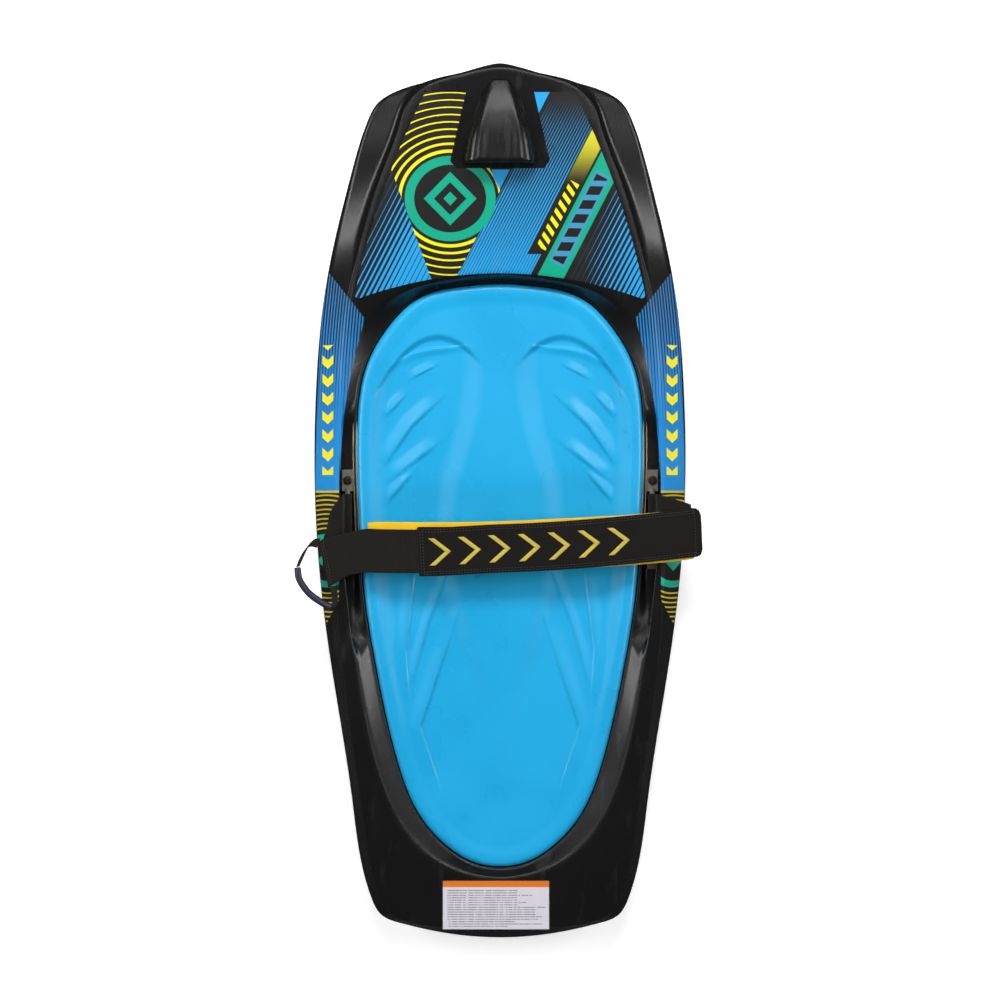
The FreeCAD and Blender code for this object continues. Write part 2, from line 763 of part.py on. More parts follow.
def embroidery_shape():
    """A row of plain chevrons in raised thread along the strap's cover."""
    edge = -THREAD["half_width"]
    thread_top = thread_lift + THREAD["thickness"]
    low = [strap_point(back, thread_lift, edge) for back in THREAD["backs"]]
    high = [strap_point(back, thread_top, edge) for back in THREAD["backs"]]
    outline = Part.Wire([Part.Arc(*low).toShape(), Part.makeLine(low[2], high[2]),
                         Part.Arc(*reversed(high)).toShape(), Part.makeLine(high[0], low[0])])
    across = strap_turn.multVec(Vector(0, 2 * THREAD["half_width"], 0))
    sheet_of_thread = Part.Face(outline).extrude(across)
    chevrons = []
    for number in range(CHEVRON["count"]):
        tail = CHEVRON["first"] + number * CHEVRON["pitch"]
        tip = tail - CHEVRON["point"]
        reach = CHEVRON["reach"]
        stroke = CHEVRON["stroke"]
        corners = [(tail, reach), (tip, 0), (tail, -reach), (tail - stroke, -reach),
                   (tip - stroke, 0), (tail - stroke, reach), (tail, reach)]
        path = [hinge_point + strap_turn.multVec(Vector(-back, side, 0))
                for back, side in corners]
        block = Part.Face(Part.makePolygon(path)).extrude(Vector(0, 0, 2 * CLEAR))
        chevrons += sheet_of_thread.common(block).Solids
    return Part.Compound(chevrons)


add_feature("strap_embroidery", embroidery_shape())


# ------------------------------------------------- webbing that bends freely

def ribbon(path, width, thickness, across=None):
    """A flat band along a path of points; across gives its width direction at each."""
    sections = []
    for index, point in enumerate(path):
        before = path[max(index - 1, 0)]
        after = path[min(index + 1, len(path) - 1)]
        sideways = Vector(across[index] if across else Vector(0, 1, 0)).normalize()
        normal = (after - before).cross(sideways).normalize()
        edge = sideways * (width / 2)
        face = normal * (thickness / 2)
        corners = [point - edge - face, point + edge - face, point + edge + face,
                   point - edge + face]
        sections.append(Part.makePolygon(corners + corners[:1]))
    return Part.makeLoft(sections, True, True)


def bar_loop(side):
    """The sleeve of webbing round an anchor bar."""
    inner = size("bar_radius") + size("bar_play")
    outer = inner + size("webbing_thickness")
    width = size("webbing_width")
    start = Vector(side * size("anchor_offset"), size("anchor_middle") - width / 2, bar_height)
    sleeve = Part.makeCylinder(outer, width, start, Vector(0, 1, 0))
    return sleeve.cut(Part.makeCylinder(inner, width, start, Vector(0, 1, 0)))


# The bend at the top of the leg: out from the bar, and down from the leg's top.
LEG_BEND = [(5.7, 6.5), (7.0, 2.6), (11.0, 0.4), (16.0, 0.0)]


def leg_path(side, drift, reach):
    """The webbing's way from the sleeve, up the channel and out over the rail."""
    top = size("leg_height")
    upright = LEG_BEND[0][0]
    halfway = (LEG_BEND[-1][0] + reach) / 2
    stops = [(upright, bar_height)]
    stops += [(out, top - down) for out, down in LEG_BEND]
    stops += [(halfway, top), (reach, top)]
    path = []
    for out, height in stops:
        shift = drift * share(out, upright, reach)
        path.append(Vector(side * (size("anchor_offset") + out),
                           size("anchor_middle") + shift, height))
    return path


def anchored_webbing(side, drift, reach):
    leg = ribbon(leg_path(side, drift, reach), size("webbing_width"), size("leg_thickness"))
    return bar_loop(side).fuse(leg)


bar_height = size("ledge_height") + LAYER_GAP + size("tab_thickness") / 2
add_feature("right_anchor_webbing", anchored_webbing(side=1, drift=-16, reach=54))
add_feature("anchor_tab", anchored_webbing(side=-1, drift=-34, reach=36))

tail_lift = core_lift + size("tail_thickness") / 2
rest_height = (size("leg_height") + size("leg_thickness") / 2 + 2 * size("patch_thickness")
               + 3 * LAYER_GAP + size("tail_thickness") / 2)
# Where the tail lies beyond the strap's pad, with how far its cross-line slants.
TAIL_OUT = [(-228, -73, -0.15), (-238, -77, -0.2), (-249, -83, -0.28), (-260, -89, -0.37)]
TAIL_HUMP = 1.2


def tail_shape():
    """The strap's free end: it leaves the pad, dips to the rail and turns to the tail."""
    path = [strap_point(back, tail_lift) for back in TAIL_BACKS]
    across = [strap_turn.multVec(Vector(0, 1, 0))] * len(path)
    for x, y, slant in TAIL_OUT:
        path.append(Vector(x, y, rest_height))
        across.append(Vector(slant, 1, 0))
    path[len(TAIL_BACKS)].z += TAIL_HUMP
    return ribbon(path, size("tail_width"), size("tail_thickness"), across)


add_feature("tail_webbing", tail_shape())

PATCH_PLACE = Vector(-250, -70, 0)
PATCH_TURN = 16


def add_patch(label, height):
    """A thin pad of hook or loop tape."""
    body = add_body(label)
    plan = add_sketch(body, label + "_plan", "XY_Plane")
    draw_box(plan, size("patch_length"), size("patch_width"),
             ("dimensions.patch_length", "dimensions.patch_width"))
    add_pad(body, label + "_pad", plan, "dimensions.patch_thickness")
    body.Placement = FreeCAD.Placement(PATCH_PLACE + Vector(0, 0, height),
                                       FreeCAD.Rotation(Vector(0, 0, 1), PATCH_TURN))


tab_top = size("leg_height") + size("leg_thickness") / 2 + LAYER_GAP
add_patch("anchor_loop_tape", tab_top)
add_patch("tail_hook_tape", tab_top + size("patch_thickness") + LAYER_GAP)


# --------------------------------------------------------------- pull loop

PULL_PATH = [Vector(-275.5, -60, 88), Vector(-291, -74, 84), Vector(-301, -95, 81),
             Vector(-281, -130, 82), Vector(-250, -151, 87), Vector(-241, -146, 88.5),
             Vector(-242.5, -125, 88)]
TUBE_ENDS = (2, 4)


def swept(curve, start, end, radius):
    """A round bar along a stretch of a curve."""
    spine = Part.Wire(curve.toShape(start, end))
    circle = Part.Circle(curve.value(start), curve.tangent(start)[0], radius)
    return spine.makePipeShell([Part.Wire(circle.toShape())], True, True)


pull_curve = Part.BSplineCurve()
pull_curve.interpolate(Points=PULL_PATH)
first = pull_curve.FirstParameter
last = pull_curve.LastParameter
tube_start, tube_end = [pull_curve.parameter(PULL_PATH[index]) for index in TUBE_ENDS]
add_feature("pull_cord", swept(pull_curve, first, last, size("cord_radius")))
grip = swept(pull_curve, tube_start, tube_end, size("tube_radius"))
grip_bore = swept(pull_curve, first, last, size("tube_bore"))
add_feature("pull_tube", grip.cut(grip_bore))


# ------------------------------------------------------------------ output

PARTS = ["board_shell", "foam_core", "foam_port_plug", "knee_pad", "left_anchor_bar",
         "right_anchor_bar", "anchor_screws", "anchor_washers", "threaded_inserts",
         "info_label", "right_anchor_webbing", "anchor_tab", "anchor_loop_tape", "strap_pad",
         "strap_core", "strap_cover", "strap_embroidery", "tail_webbing", "tail_hook_tape",
         "pull_cord", "pull_tube"]

doc.recompute()
for item in doc.Objects:
    if "Invalid" in item.State or "Error" in item.State:
        raise RuntimeError(item.Label + " did not build: " + str(item.State))
sub_parts = {item.Label: item for item in doc.Objects if item.Label in PARTS}
for label in PARTS:
    shape = sub_parts[label].Shape
    if shape.isNull() or not shape.isValid() or not shape.Solids:
        raise RuntimeError(label + " has no valid solid")

os.makedirs("parts", exist_ok=True)
for label in PARTS:
    sub_parts[label].Shape.exportStep("parts/" + label + ".step")
    print(label, len(sub_parts[label].Shape.Solids), "solid(s)")
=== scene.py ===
import json
import math

import bmesh
import bpy
import numpy as np
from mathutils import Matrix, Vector


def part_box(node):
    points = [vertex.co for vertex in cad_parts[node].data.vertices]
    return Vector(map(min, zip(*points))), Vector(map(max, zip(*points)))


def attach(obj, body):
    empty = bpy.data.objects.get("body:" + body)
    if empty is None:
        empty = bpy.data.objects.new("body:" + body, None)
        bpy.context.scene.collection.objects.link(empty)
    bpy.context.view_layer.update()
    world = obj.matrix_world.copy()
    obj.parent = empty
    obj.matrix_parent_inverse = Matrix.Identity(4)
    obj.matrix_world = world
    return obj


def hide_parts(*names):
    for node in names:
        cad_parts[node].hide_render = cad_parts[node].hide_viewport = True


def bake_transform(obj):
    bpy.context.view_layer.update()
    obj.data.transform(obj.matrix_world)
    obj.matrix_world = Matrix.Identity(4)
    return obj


# Kneeboard, deck up: +Z up, +Y to the nose, +X to the rider's right.  Shapes are
# worked out in millimetres and written to the meshes in metres.

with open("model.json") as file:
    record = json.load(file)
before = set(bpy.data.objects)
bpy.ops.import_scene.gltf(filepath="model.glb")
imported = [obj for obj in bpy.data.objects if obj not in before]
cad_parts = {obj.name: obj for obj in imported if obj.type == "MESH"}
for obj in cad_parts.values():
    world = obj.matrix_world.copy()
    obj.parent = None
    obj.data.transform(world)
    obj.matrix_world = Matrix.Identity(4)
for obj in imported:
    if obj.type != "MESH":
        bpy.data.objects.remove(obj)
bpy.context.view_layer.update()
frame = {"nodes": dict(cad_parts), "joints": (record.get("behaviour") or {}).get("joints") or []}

MM = 0.001
UP = np.array([0, 0, 1.0])
joints = {joint["name"]: joint for joint in frame["joints"]}

# ---- main dimensions

NOSE = 648               # the board reaches this far ahead of and behind its middle
DECK = 79                # height of the deck amidships
NOSE_RISE = 49           # how much the deck rises to the nose
RIM_HEIGHT = 42          # height of the board's widest line amidships
FOAM_INSET = 4.5         # how far the poured core lies inside the skin
BELLY = (203, 292.5)     # half width and half length of the flat under the board
BELLY_MIDDLE = -42.5
BED = 44                 # floor of the recess that holds the pad
LEDGE = 58               # floor of the channels beside the pad
PAD_FACE = 65            # height of the pad's face
BAR_X, BAR_Y, BAR_Z = 227, -24, 59.6      # middle of an anchor bar
BAR_LENGTH = 76
STRAP_WIDTH = 71.5       # of the outer cover
RAIL_TOP = 81.8          # middle of the webbing where it lies on the rail


# ---- node materials

def srgb(red, green, blue):
    """A display colour, 0 to 255, as the linear colour a shader takes."""
    linear = [((c / 255 + 0.055) / 1.055) ** 2.4 if c > 10 else c / 255 / 12.92
              for c in (red, green, blue)]
    return (*linear, 1.0)


def math_operator(kind, swapped=False):
    """A method that adds one Math node; swapped puts the other value first."""
    def method(self, other):
        values = (other, self) if swapped else (self, other)
        return self.paint.math(kind, *values)
    return method


class Signal:
    """A value inside a node tree.  Arithmetic adds Math nodes; comparisons make soft
    masks, which & | ~ combine."""

    def __init__(self, paint, socket):
        self.paint = paint
        self.socket = socket

    __add__ = __radd__ = math_operator("ADD")
    __sub__ = math_operator("SUBTRACT")
    __rsub__ = math_operator("SUBTRACT", swapped=True)
    __mul__ = __rmul__ = math_operator("MULTIPLY")
    __truediv__ = math_operator("DIVIDE")
    __and__ = math_operator("MINIMUM")
    __or__ = math_operator("MAXIMUM")

    def __gt__(self, other):
        return self.paint.step(self - other)

    def __lt__(self, other):
        return self.paint.step(other - self)

    def __invert__(self):
        return 1.0 - self

    def __abs__(self):
        return self.paint.math("ABSOLUTE", self)


class Paint:
    """A Principled material and the nodes that feed it; x, y and z are in millimetres."""

    def __init__(self, name, attribute=None, softness=0.3):
        self.material = bpy.data.materials.new(name)
        self.material.use_nodes = True
        self.tree = self.material.node_tree
        self.bsdf = self.tree.nodes["Principled BSDF"]
        self.softness = softness
        if attribute:
            source = self.node("ShaderNodeAttribute", output="Vector", attribute_name=attribute)
        else:
            source = self.node("ShaderNodeTexCoord", output="Object")
        self.place = self.node("ShaderNodeVectorMath", {0: source, "Scale": 1 / MM},
                               operation="SCALE")
        self.x, self.y, self.z = [self.node("ShaderNodeSeparateXYZ", {0: self.place}, axis)
                                  for axis in range(3)]

    def node(self, kind, inputs=(), output=0, **settings):
        """Add a node, fill its inputs and give one of its outputs."""
        made = self.tree.nodes.new(kind)
        for key, value in settings.items():
            setattr(made, key, value)
        for socket, value in dict(inputs).items():
            self.feed(made.inputs[socket], value)
        return Signal(self, made.outputs[output])

    def feed(self, socket, value):
        if isinstance(value, Signal):
            self.tree.links.new(value.socket, socket)
        else:
            socket.default_value = value

    def math(self, operation, *values, clamp=False):
        return self.node("ShaderNodeMath", enumerate(values), operation=operation,
                         use_clamp=clamp)

    def step(self, value):
        """0 below zero and 1 above, eased over the paint's softness."""
        return self.math("MULTIPLY_ADD", value, 1 / self.softness, 0.5, clamp=True)

    def ease(self, value, low, high):
        return self.node("ShaderNodeMapRange", {"Value": value, "From Min": low, "From Max": high},
                         "Result", interpolation_type="SMOOTHSTEP")

    def held(self, value, low, high):
        return self.math("MINIMUM", self.math("MAXIMUM", value, low), high)

    def positive(self, value):
        return self.math("MAXIMUM", value, 0.0)

    def within(self, value, low, high):
        return (value > low) & (value < high)

    def hypot(self, across, along):
        return self.math("SQRT", across * across + along * along)

    def mix(self, mask, under, over):
        factor, first, second, result = 0, 6, 7, 2
        return self.node("ShaderNodeMix", {factor: mask, first: under, second: over}, result,
                         data_type="RGBA")

    def noise(self, per_mm, detail=2.0, stretch=(1, 1, 1)):
        """Noise from about 0 to 1; stretch squeezes it along each axis."""
        scale = [per_mm * s for s in stretch]
        place = self.node("ShaderNodeMapping", {"Vector": self.place, "Scale": scale})
        return self.node("ShaderNodeTexNoise", {"Vector": place, "Scale": 1.0, "Detail": detail},
                         "Fac")

    def cells(self, per_mm, feature="F1"):
        return self.node("ShaderNodeTexVoronoi", {"Vector": self.place, "Scale": per_mm},
                         "Distance", feature=feature)

    def wave(self, value, period):
        """A sine of the value, from 0 to 1."""
        return self.math("SINE", value * (2 * math.pi / period)) * 0.5 + 0.5

    def stripe(self, value, period, share):
        """Stripes of the given share of their period."""
        phase = self.math("FRACT", value / period)
        return (share * 0.5 - abs(phase - 0.5)) * period > 0.0

    def done(self, colour, roughness, height=None, metallic=0.0, sheen=0.0, coat=0.0,
             specular=0.5):
        """Fill the shader; height is a relief in millimetres."""
        values = {"Base Color": colour, "Roughness": roughness, "Metallic": metallic,
                  "Sheen Weight": sheen, "Coat Weight": coat, "Specular IOR Level": specular}
        if height is not None:
            relief = {"Distance": MM, "Height": height}
            values["Normal"] = self.node("ShaderNodeBump", relief, "Normal")
        for name, value in values.items():
            self.feed(self.bsdf.inputs[name], value)
        return self.material


BLUE = srgb(33, 165, 232)
YELLOW = srgb(250, 236, 20)
TEAL = srgb(0, 170, 136)
DEEP_GOLD = srgb(222, 214, 50)
HALO_BLUE = srgb(66, 150, 190)
PRINT_BLACK = srgb(26, 24, 24)
PLASTIC_BLACK = srgb(13, 13, 13)
STRAP_BLACK = srgb(10, 9, 7)

LEAN_COS, LEAN_SIN = 0.887, 0.462       # the nose's bands lean 27.5 degrees from +Y
WIDE_PITCH, FINE_PITCH = 7.1, 3.95      # from stripe to stripe on the nose
PRINT_TOP = 603                         # front edge of the nose print
HOOK_FOOT = 493                         # back edge of the bare patch round the hook
ROUNDEL = (-73.4, 448.8)                # middle of the rings
TARGET = (258, -85.6)                   # middle of the rings on a rail


def nose_print(paint, colour):
    """The graphics on the nose deck: rings in a wedge, and slanting bands."""
    x, y = paint.x, paint.y
    within, stripe, mix = paint.within, paint.stripe, paint.mix
    slant = x * LEAN_COS - y * LEAN_SIN
    reach = x * LEAN_SIN + y * LEAN_COS

    drop = 610 - y
    side = 106 + 0.516 * drop - 0.000518 * drop * drop
    foot = 340 - 0.00085 * x * x
    corner = 9.0
    rounding = paint.hypot(paint.positive(abs(x) - (side - corner)),
                           paint.positive((foot + corner) - y))
    patch = 50 + 0.235 * (PRINT_TOP - y) - paint.ease(y, 505, 491) * 12
    hook = (abs(x) < patch) & (y > HOOK_FOOT)
    deck_only = paint.z > 44.5 + 0.075 * y
    field = (rounding < corner) & (y < PRINT_TOP) & ~hook & deck_only

    wedge_left = (x > -160.6 + 0.3662 * (HOOK_FOOT - y)) | (y > HOOK_FOOT)
    upper = paint.math("MINIMUM", y, 500.0)
    wedge_right = (x < -0.6 - 0.5164 * (459 - y)) & (x < -0.6 - 0.49 * (upper - 462))
    wedge = wedge_left & wedge_right
    beyond = ~wedge

    left = (y < 492) & (x < -60) & beyond
    left_share = paint.held(0.54 + 0.0098 * (x + 180) - 0.0049 * (y - 323), 0.0, 0.84)
    art = mix(stripe(slant, WIDE_PITCH, left_share) & left, PRINT_BLACK, BLUE)

    band_end = -134.6 + 18.6 * (y < 368)
    band = within(slant, -211, band_end) & (x > -70) & (y < 600) & beyond
    fine = stripe(slant, FINE_PITCH, 0.80 - 0.0030 * (y - 345))
    art = mix(fine & band, art, mix(paint.ease(y, 606, 545), PRINT_BLACK, BLUE))
    low_corner = within(y, 462, 491) & (x > -12)
    high_corner = (y > 555) & (x > 30)
    art = mix((low_corner | high_corner) & (slant < -214) & beyond, art, BLUE)

    gold = within(slant, -133.5, -110) & (y > 466) & (x > 60)
    art = mix(gold, art, mix(paint.ease(y, 468, 545), PRINT_BLACK, DEEP_GOLD))
    right_side = x > 40
    dashes = within(slant, -128, -113) & within(reach, 362, 470) & right_side
    art = mix(dashes & stripe(reach + slant * 0.5, 13, 0.52), art, YELLOW)
    art = mix(within(slant, -106.5, -70) & right_side, art, TEAL)
    halo = within(slant, -101, -77) & within(reach, 352, 500) & right_side
    art = mix(halo, art, HALO_BLUE)
    blocks = within(slant, -98, -80) & within(reach, 356, 496) & right_side
    art = mix(blocks & stripe(reach - slant * 0.5, 23, 0.62), art, PRINT_BLACK)

    right_share = 0.47 + 0.0085 * (x - 180) - 0.0028 * paint.positive(y - 360)
    right = stripe(slant, WIDE_PITCH, paint.held(right_share, 0.0, 0.85))
    art = mix(right & (slant > -64) & (x > 100), art, BLUE)

    from_x, from_y = x - ROUNDEL[0], y - ROUNDEL[1]
    ring = paint.hypot(from_x, from_y * 1.08)
    thin_out = paint.math("EXPONENT", (74 - ring) / 22)
    arcs = stripe(ring - 68.9, 11.4, 0.16 + 0.30 * thin_out) & (ring > 70)
    art = mix(wedge & arcs, art, YELLOW)
    art = mix(within(ring, 53, 67), art, TEAL)
    art = mix(ring < 53, art, PRINT_BLACK)
    diamond = abs(from_x) + abs(from_y)
    art = mix(within(diamond, 24, 39) | (diamond < 10), art, TEAL)
    return mix(field, colour, art), field


def side_print(paint, colour):
    """The graphics along both rails, the same on either side."""
    x, y = abs(paint.x), paint.y
    stripe, mix = paint.stripe, paint.mix
    ahead, behind = paint.positive(y - 40), paint.positive(40 - y)
    outer = 278 - 0.000204 * ahead * ahead - 0.00034 * behind * behind
    rise = paint.positive(y - 20)
    inner = 238.6 - 0.00060 * rise * rise
    front, back = 334 - 1.275 * (247.5 - x), -143 - 1.82 * (x - 238.6)
    field = (x > inner) & (y < front) & (y > back) & (paint.z > 45 + 0.03 * rise)

    share = 0.96 - 0.60 * paint.ease(y, 96, 330)
    art = mix(stripe(outer - x, 4.4, share), PRINT_BLACK, srgb(4, 132, 205))
    art = mix(paint.ease(y, 150, 40), art, srgb(2, 140, 214))
    off_centre = abs(x - 256)
    chevrons = stripe(y - off_centre * 0.9, 27.5, 0.46) & (off_centre < 8.5)
    art = mix(chevrons & paint.within(y, 42, 235), art, YELLOW)

    across, along = x - TARGET[0], y - TARGET[1]
    ring = paint.hypot(across, along)
    low = mix(stripe(ring - 45, 7.0, 0.34) & (ring > 44), srgb(22, 21, 20), srgb(196, 178, 28))
    diamond = abs(across) + abs(along) < 15
    low = mix(paint.within(ring, 30, 40) | diamond, low, TEAL)
    art = mix(y < 15.5, art, low)
    art = mix(abs(y - 17) < 1.6, art, srgb(205, 190, 40))
    return mix(field, colour, art), field


def shell_paint():
    paint = Paint("board_plastic")
    haze = paint.noise(0.012, 3)
    colour = paint.mix(haze * 0.5, PLASTIC_BLACK, srgb(22, 22, 22))
    colour, nose = nose_print(paint, colour)
    colour, rail = side_print(paint, colour)
    scuff = paint.ease(paint.noise(0.05, 5, (1, 0.25, 1)), 0.56, 0.80)
    colour = paint.mix(scuff * 0.05, colour, srgb(120, 120, 118))
    peel = paint.noise(0.28, 2) * 0.022 + paint.noise(1.3, 3) * 0.008
    rough = 0.22 + haze * 0.10 + scuff * 0.16 + (nose | rail) * 0.16
    return paint.done(colour, rough, peel, specular=0.45)


def pad_paint():
    paint = Paint("pad_foam")
    cloud = paint.noise(0.010, 3)
    colour = paint.mix(paint.ease(cloud, 0.3, 0.7), srgb(28, 168, 224), srgb(34, 174, 230))
    grain = paint.cells(0.9, "SMOOTH_F1") * 0.035 + paint.noise(0.20, 3) * 0.05
    speck = paint.ease(paint.noise(1.6, 2), 0.60, 0.76)
    colour = paint.mix(speck * 0.10, colour, srgb(16, 138, 192))
    return paint.done(colour, 0.23 + cloud * 0.10 + speck * 0.10, grain)


def foam_paint():
    paint = Paint("poured_foam")
    bubble = paint.cells(0.6)
    colour = paint.mix(bubble, srgb(232, 216, 176), srgb(246, 238, 212))
    return paint.done(colour, 0.85, bubble * 0.3)


def woven_paint(name, dark, light, warp, weft, relief=0.22):
    """Woven tape: threads warp mm apart across it and weft mm apart along it."""
    paint = Paint(name, "cloth")
    along = paint.wave(paint.x, weft)
    across = paint.wave(paint.y, warp)
    weave = (along * across) + (1 - along) * (1 - across)
    body = weave * 0.45 + along * 0.55
    fibre = paint.noise(2.2, 3)
    colour = paint.mix(body * 0.75 + fibre * 0.25, dark, light)
    return paint.done(colour, 0.82, body * relief + fibre * 0.08, sheen=0.08, specular=0.2)


def neoprene_paint():
    paint = Paint("neoprene_yellow", "cloth")
    knit = paint.wave(paint.x + paint.wave(paint.y, 1.7) * 0.5, 1.5)
    cloud = paint.noise(0.03, 3)
    colour = paint.mix(knit * 0.4 + cloud * 0.6, srgb(222, 170, 8), srgb(250, 206, 22))
    relief = knit * 0.12 + paint.noise(0.25, 2) * 0.15
    return paint.done(colour, 0.78, relief, sheen=0.3, specular=0.3)


def embroidery_paint():
    paint = Paint("satin_thread", "cloth")
    strand = paint.wave(paint.y, 0.62)
    colour = paint.mix(strand, srgb(176, 150, 36), srgb(244, 226, 84))
    return paint.done(colour, 0.42, strand * 0.16, sheen=0.4)


def stitch_paint(name, shade):
    paint = Paint(name)
    twist = paint.wave(paint.x + paint.y + paint.z, 0.7)
    colour = paint.mix(twist, [c * 0.6 for c in shade[:3]] + [1.0], shade)
    return paint.done(colour, 0.6, twist * 0.05, sheen=0.3)


def tape_paint():
    paint = Paint("hook_tape")
    bristle = paint.cells(0.9)
    colour = paint.mix(bristle, srgb(34, 34, 34), srgb(12, 12, 12))
    return paint.done(colour, 0.9, bristle * 0.7, specular=0.2)


def tube_paint():
    paint = Paint("grip_tube")
    mottle = paint.noise(0.15, 3)
    colour = paint.mix(mottle, srgb(30, 29, 44), srgb(46, 45, 66))
    return paint.done(colour, 0.36 + mottle * 0.12, paint.noise(0.9, 2) * 0.06, coat=0.15)


def metal_paint(name, dark, light, metallic, roughness):
    paint = Paint(name)
    grain = paint.noise(0.35, 4)
    wear = paint.ease(paint.noise(0.11, 4), 0.55, 0.72)
    colour = paint.mix(grain * 0.5 + wear * 0.5, dark, light)
    return paint.done(colour, roughness + grain * 0.15, grain * 0.05, metallic=metallic)


def plug_paint():
    """Turned rings round the middle of the plug."""
    paint = Paint("plug_plastic")
    rings = paint.wave(paint.hypot(paint.x, paint.y + 300), 1.4)
    colour = paint.mix(paint.noise(0.2, 2), srgb(20, 20, 20), srgb(34, 34, 34))
    return paint.done(colour, 0.45, rings * 0.05)


def label_paint():
    """A blank printed label: a plain head band above grey rules of uneven length."""
    paint = Paint("label_print", softness=0.2)
    low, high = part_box("info_label")
    x = paint.x - (low[0] + high[0]) / 2 / MM
    y = paint.y - (low[1] + high[1]) / 2 / MM
    pitch, first_rule = 3.55, y + 44
    row = paint.math("FLOOR", first_rule / pitch)
    uneven = paint.math("FRACT", paint.math("SINE", row * 12.9898) * 437.58)
    rules = paint.stripe(first_rule, pitch, 0.34) & paint.within(y, -32, 23)
    ends = (x > -72) & (x < 74 - uneven * uneven * 60)
    broken = paint.ease(paint.noise(0.9, 1, (1.0, 0.05, 0.05)), 0.36, 0.46)
    paper = paint.mix(paint.noise(0.05, 3), srgb(214, 210, 222), srgb(228, 224, 234))
    colour = paint.mix(rules & ends & broken, paper, srgb(112, 110, 122))
    colour = paint.mix(y > 26.8, colour, srgb(232, 122, 36))
    edge = (abs(x) > 78.6) | (abs(y) > 35.8)
    colour = paint.mix(edge, colour, srgb(60, 60, 64))
    return paint.done(colour, 0.35, paint.noise(0.1, 2) * 0.05, coat=0.3)


# ---- mesh tools

def smooth(low, high, value):
    t = np.clip((value - low) / (high - low), 0.0, 1.0)
    return t * t * (3 - 2 * t)


def share(value, start, end):
    """How far value lies from start to end, held between 0 and 1."""
    return np.clip((value - start) / (end - start), 0.0, 1.0)


def unit(vectors):
    return vectors / np.maximum(np.linalg.norm(vectors, axis=-1, keepdims=True), 1e-9)


def measured(points):
    """The distance along a chain of points, at each of them."""
    return np.concatenate([[0], np.cumsum(np.linalg.norm(np.diff(points, axis=0), axis=1))])


def evenly(points, count, endpoint=True):
    """The same chain with count points at equal distances."""
    length = measured(points)
    even = np.linspace(0, length[-1], count, endpoint=endpoint)
    return np.column_stack([np.interp(even, length, column) for column in points.T])


def add_piece(name, points, faces, body, slot, material, replaces=(), cloth=None):
    """A smooth closed mesh from points in millimetres, riding on a body."""
    mesh = bpy.data.meshes.new(name)
    mesh.from_pydata((np.asarray(points, float) * MM).tolist(), [], faces)
    if cloth is not None:
        layer = mesh.attributes.new("cloth", "FLOAT_VECTOR", "POINT")
        layer.data.foreach_set("vector", (np.asarray(cloth, np.float32) * MM).ravel())
    work = bmesh.new()
    work.from_mesh(mesh)
    bmesh.ops.remove_doubles(work, verts=work.verts, dist=0.02 * MM)
    bmesh.ops.recalc_face_normals(work, faces=work.faces)
    for face in work.faces:
        face.smooth = True
    work.to_mesh(mesh)
    work.free()
    mesh.materials.append(material)
    piece = bpy.data.objects.new(name, mesh)
    bpy.context.scene.collection.objects.link(piece)
    if body:
        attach(piece, body)
    if replaces:
        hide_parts(*replaces)
    return piece


def skin(rings, capped=True):
    """Points and quads of a stack of equal closed rings, with end faces if capped."""
    count, around = len(rings), len(rings[0])
    points = np.concatenate(rings)
    index = np.arange(count * around).reshape(count, around)
    low, high = index[:-1], index[1:]
    quads = np.stack([low, np.roll(low, -1, 1), np.roll(high, -1, 1), high], -1)
    faces = quads.reshape(-1, 4).tolist()
    if capped:
        faces += [index[0][::-1].tolist(), index[-1].tolist()]
    return points, faces


def joined(skins):
    """Several skins as one."""
    points, faces, base = [], [], 0
    for some, quads in skins:
        points.append(some)
        faces += [[base + corner for corner in face] for face in quads]
        base += len(some)
    return np.concatenate(points), faces


def rounded(keys, steps=5):
    """Rings through a column of (ring, radius) keys, each turn eased over its radius."""
    rings = [keys[0][0]]
    for (before, _), (here, radius), (after, _) in zip(keys, keys[1:], keys[2:]):
        way_in, way_out = here - before, after - here
        room_in = np.linalg.norm(way_in, axis=1, keepdims=True)
        room_out = np.linalg.norm(way_out, axis=1, keepdims=True)
        start = here - unit(way_in) * np.minimum(radius, 0.48 * room_in)
        end = here + unit(way_out) * np.minimum(radius, 0.48 * room_out)
        for t in np.linspace(0, 1, steps):
            rings.append((1 - t) ** 2 * start + 2 * t * (1 - t) * here + t * t * end)
    rings.append(keys[-1][0])
    return rings


def refined(rings, longest):
    """The rings with more put in where two neighbours lie far apart."""
    full = [rings[0]]
    for low, high in zip(rings, rings[1:]):
        gap = np.linalg.norm(high - low, axis=1).max()
        parts = max(1, math.ceil(gap / longest))
        full += [low + (high - low) * k / parts for k in range(1, parts + 1)]
    return full


def open_curve(points, count):
    """A Catmull-Rom curve through points, evenly spaced."""
    p = np.array(points, float)
    p = np.vstack([2 * p[0] - p[1], p, 2 * p[-1] - p[-2]])
    t = np.linspace(0, 1, 24, endpoint=False)[:, None]
    fine = []
    for a, b, c, d in zip(p, p[1:], p[2:], p[3:]):
        fine.append(0.5 * (2 * b + (c - a) * t + (2 * a - 5 * b + 4 * c - d) * t ** 2
                           + (3 * b - a - 3 * c + d) * t ** 3))
    return evenly(np.vstack(fine + [p[-2:-1]]), count)


def there_and_back(top, low):
    """A closed ring from a row of points and the row below it."""
    return np.concatenate([top, low[-2:0:-1]])


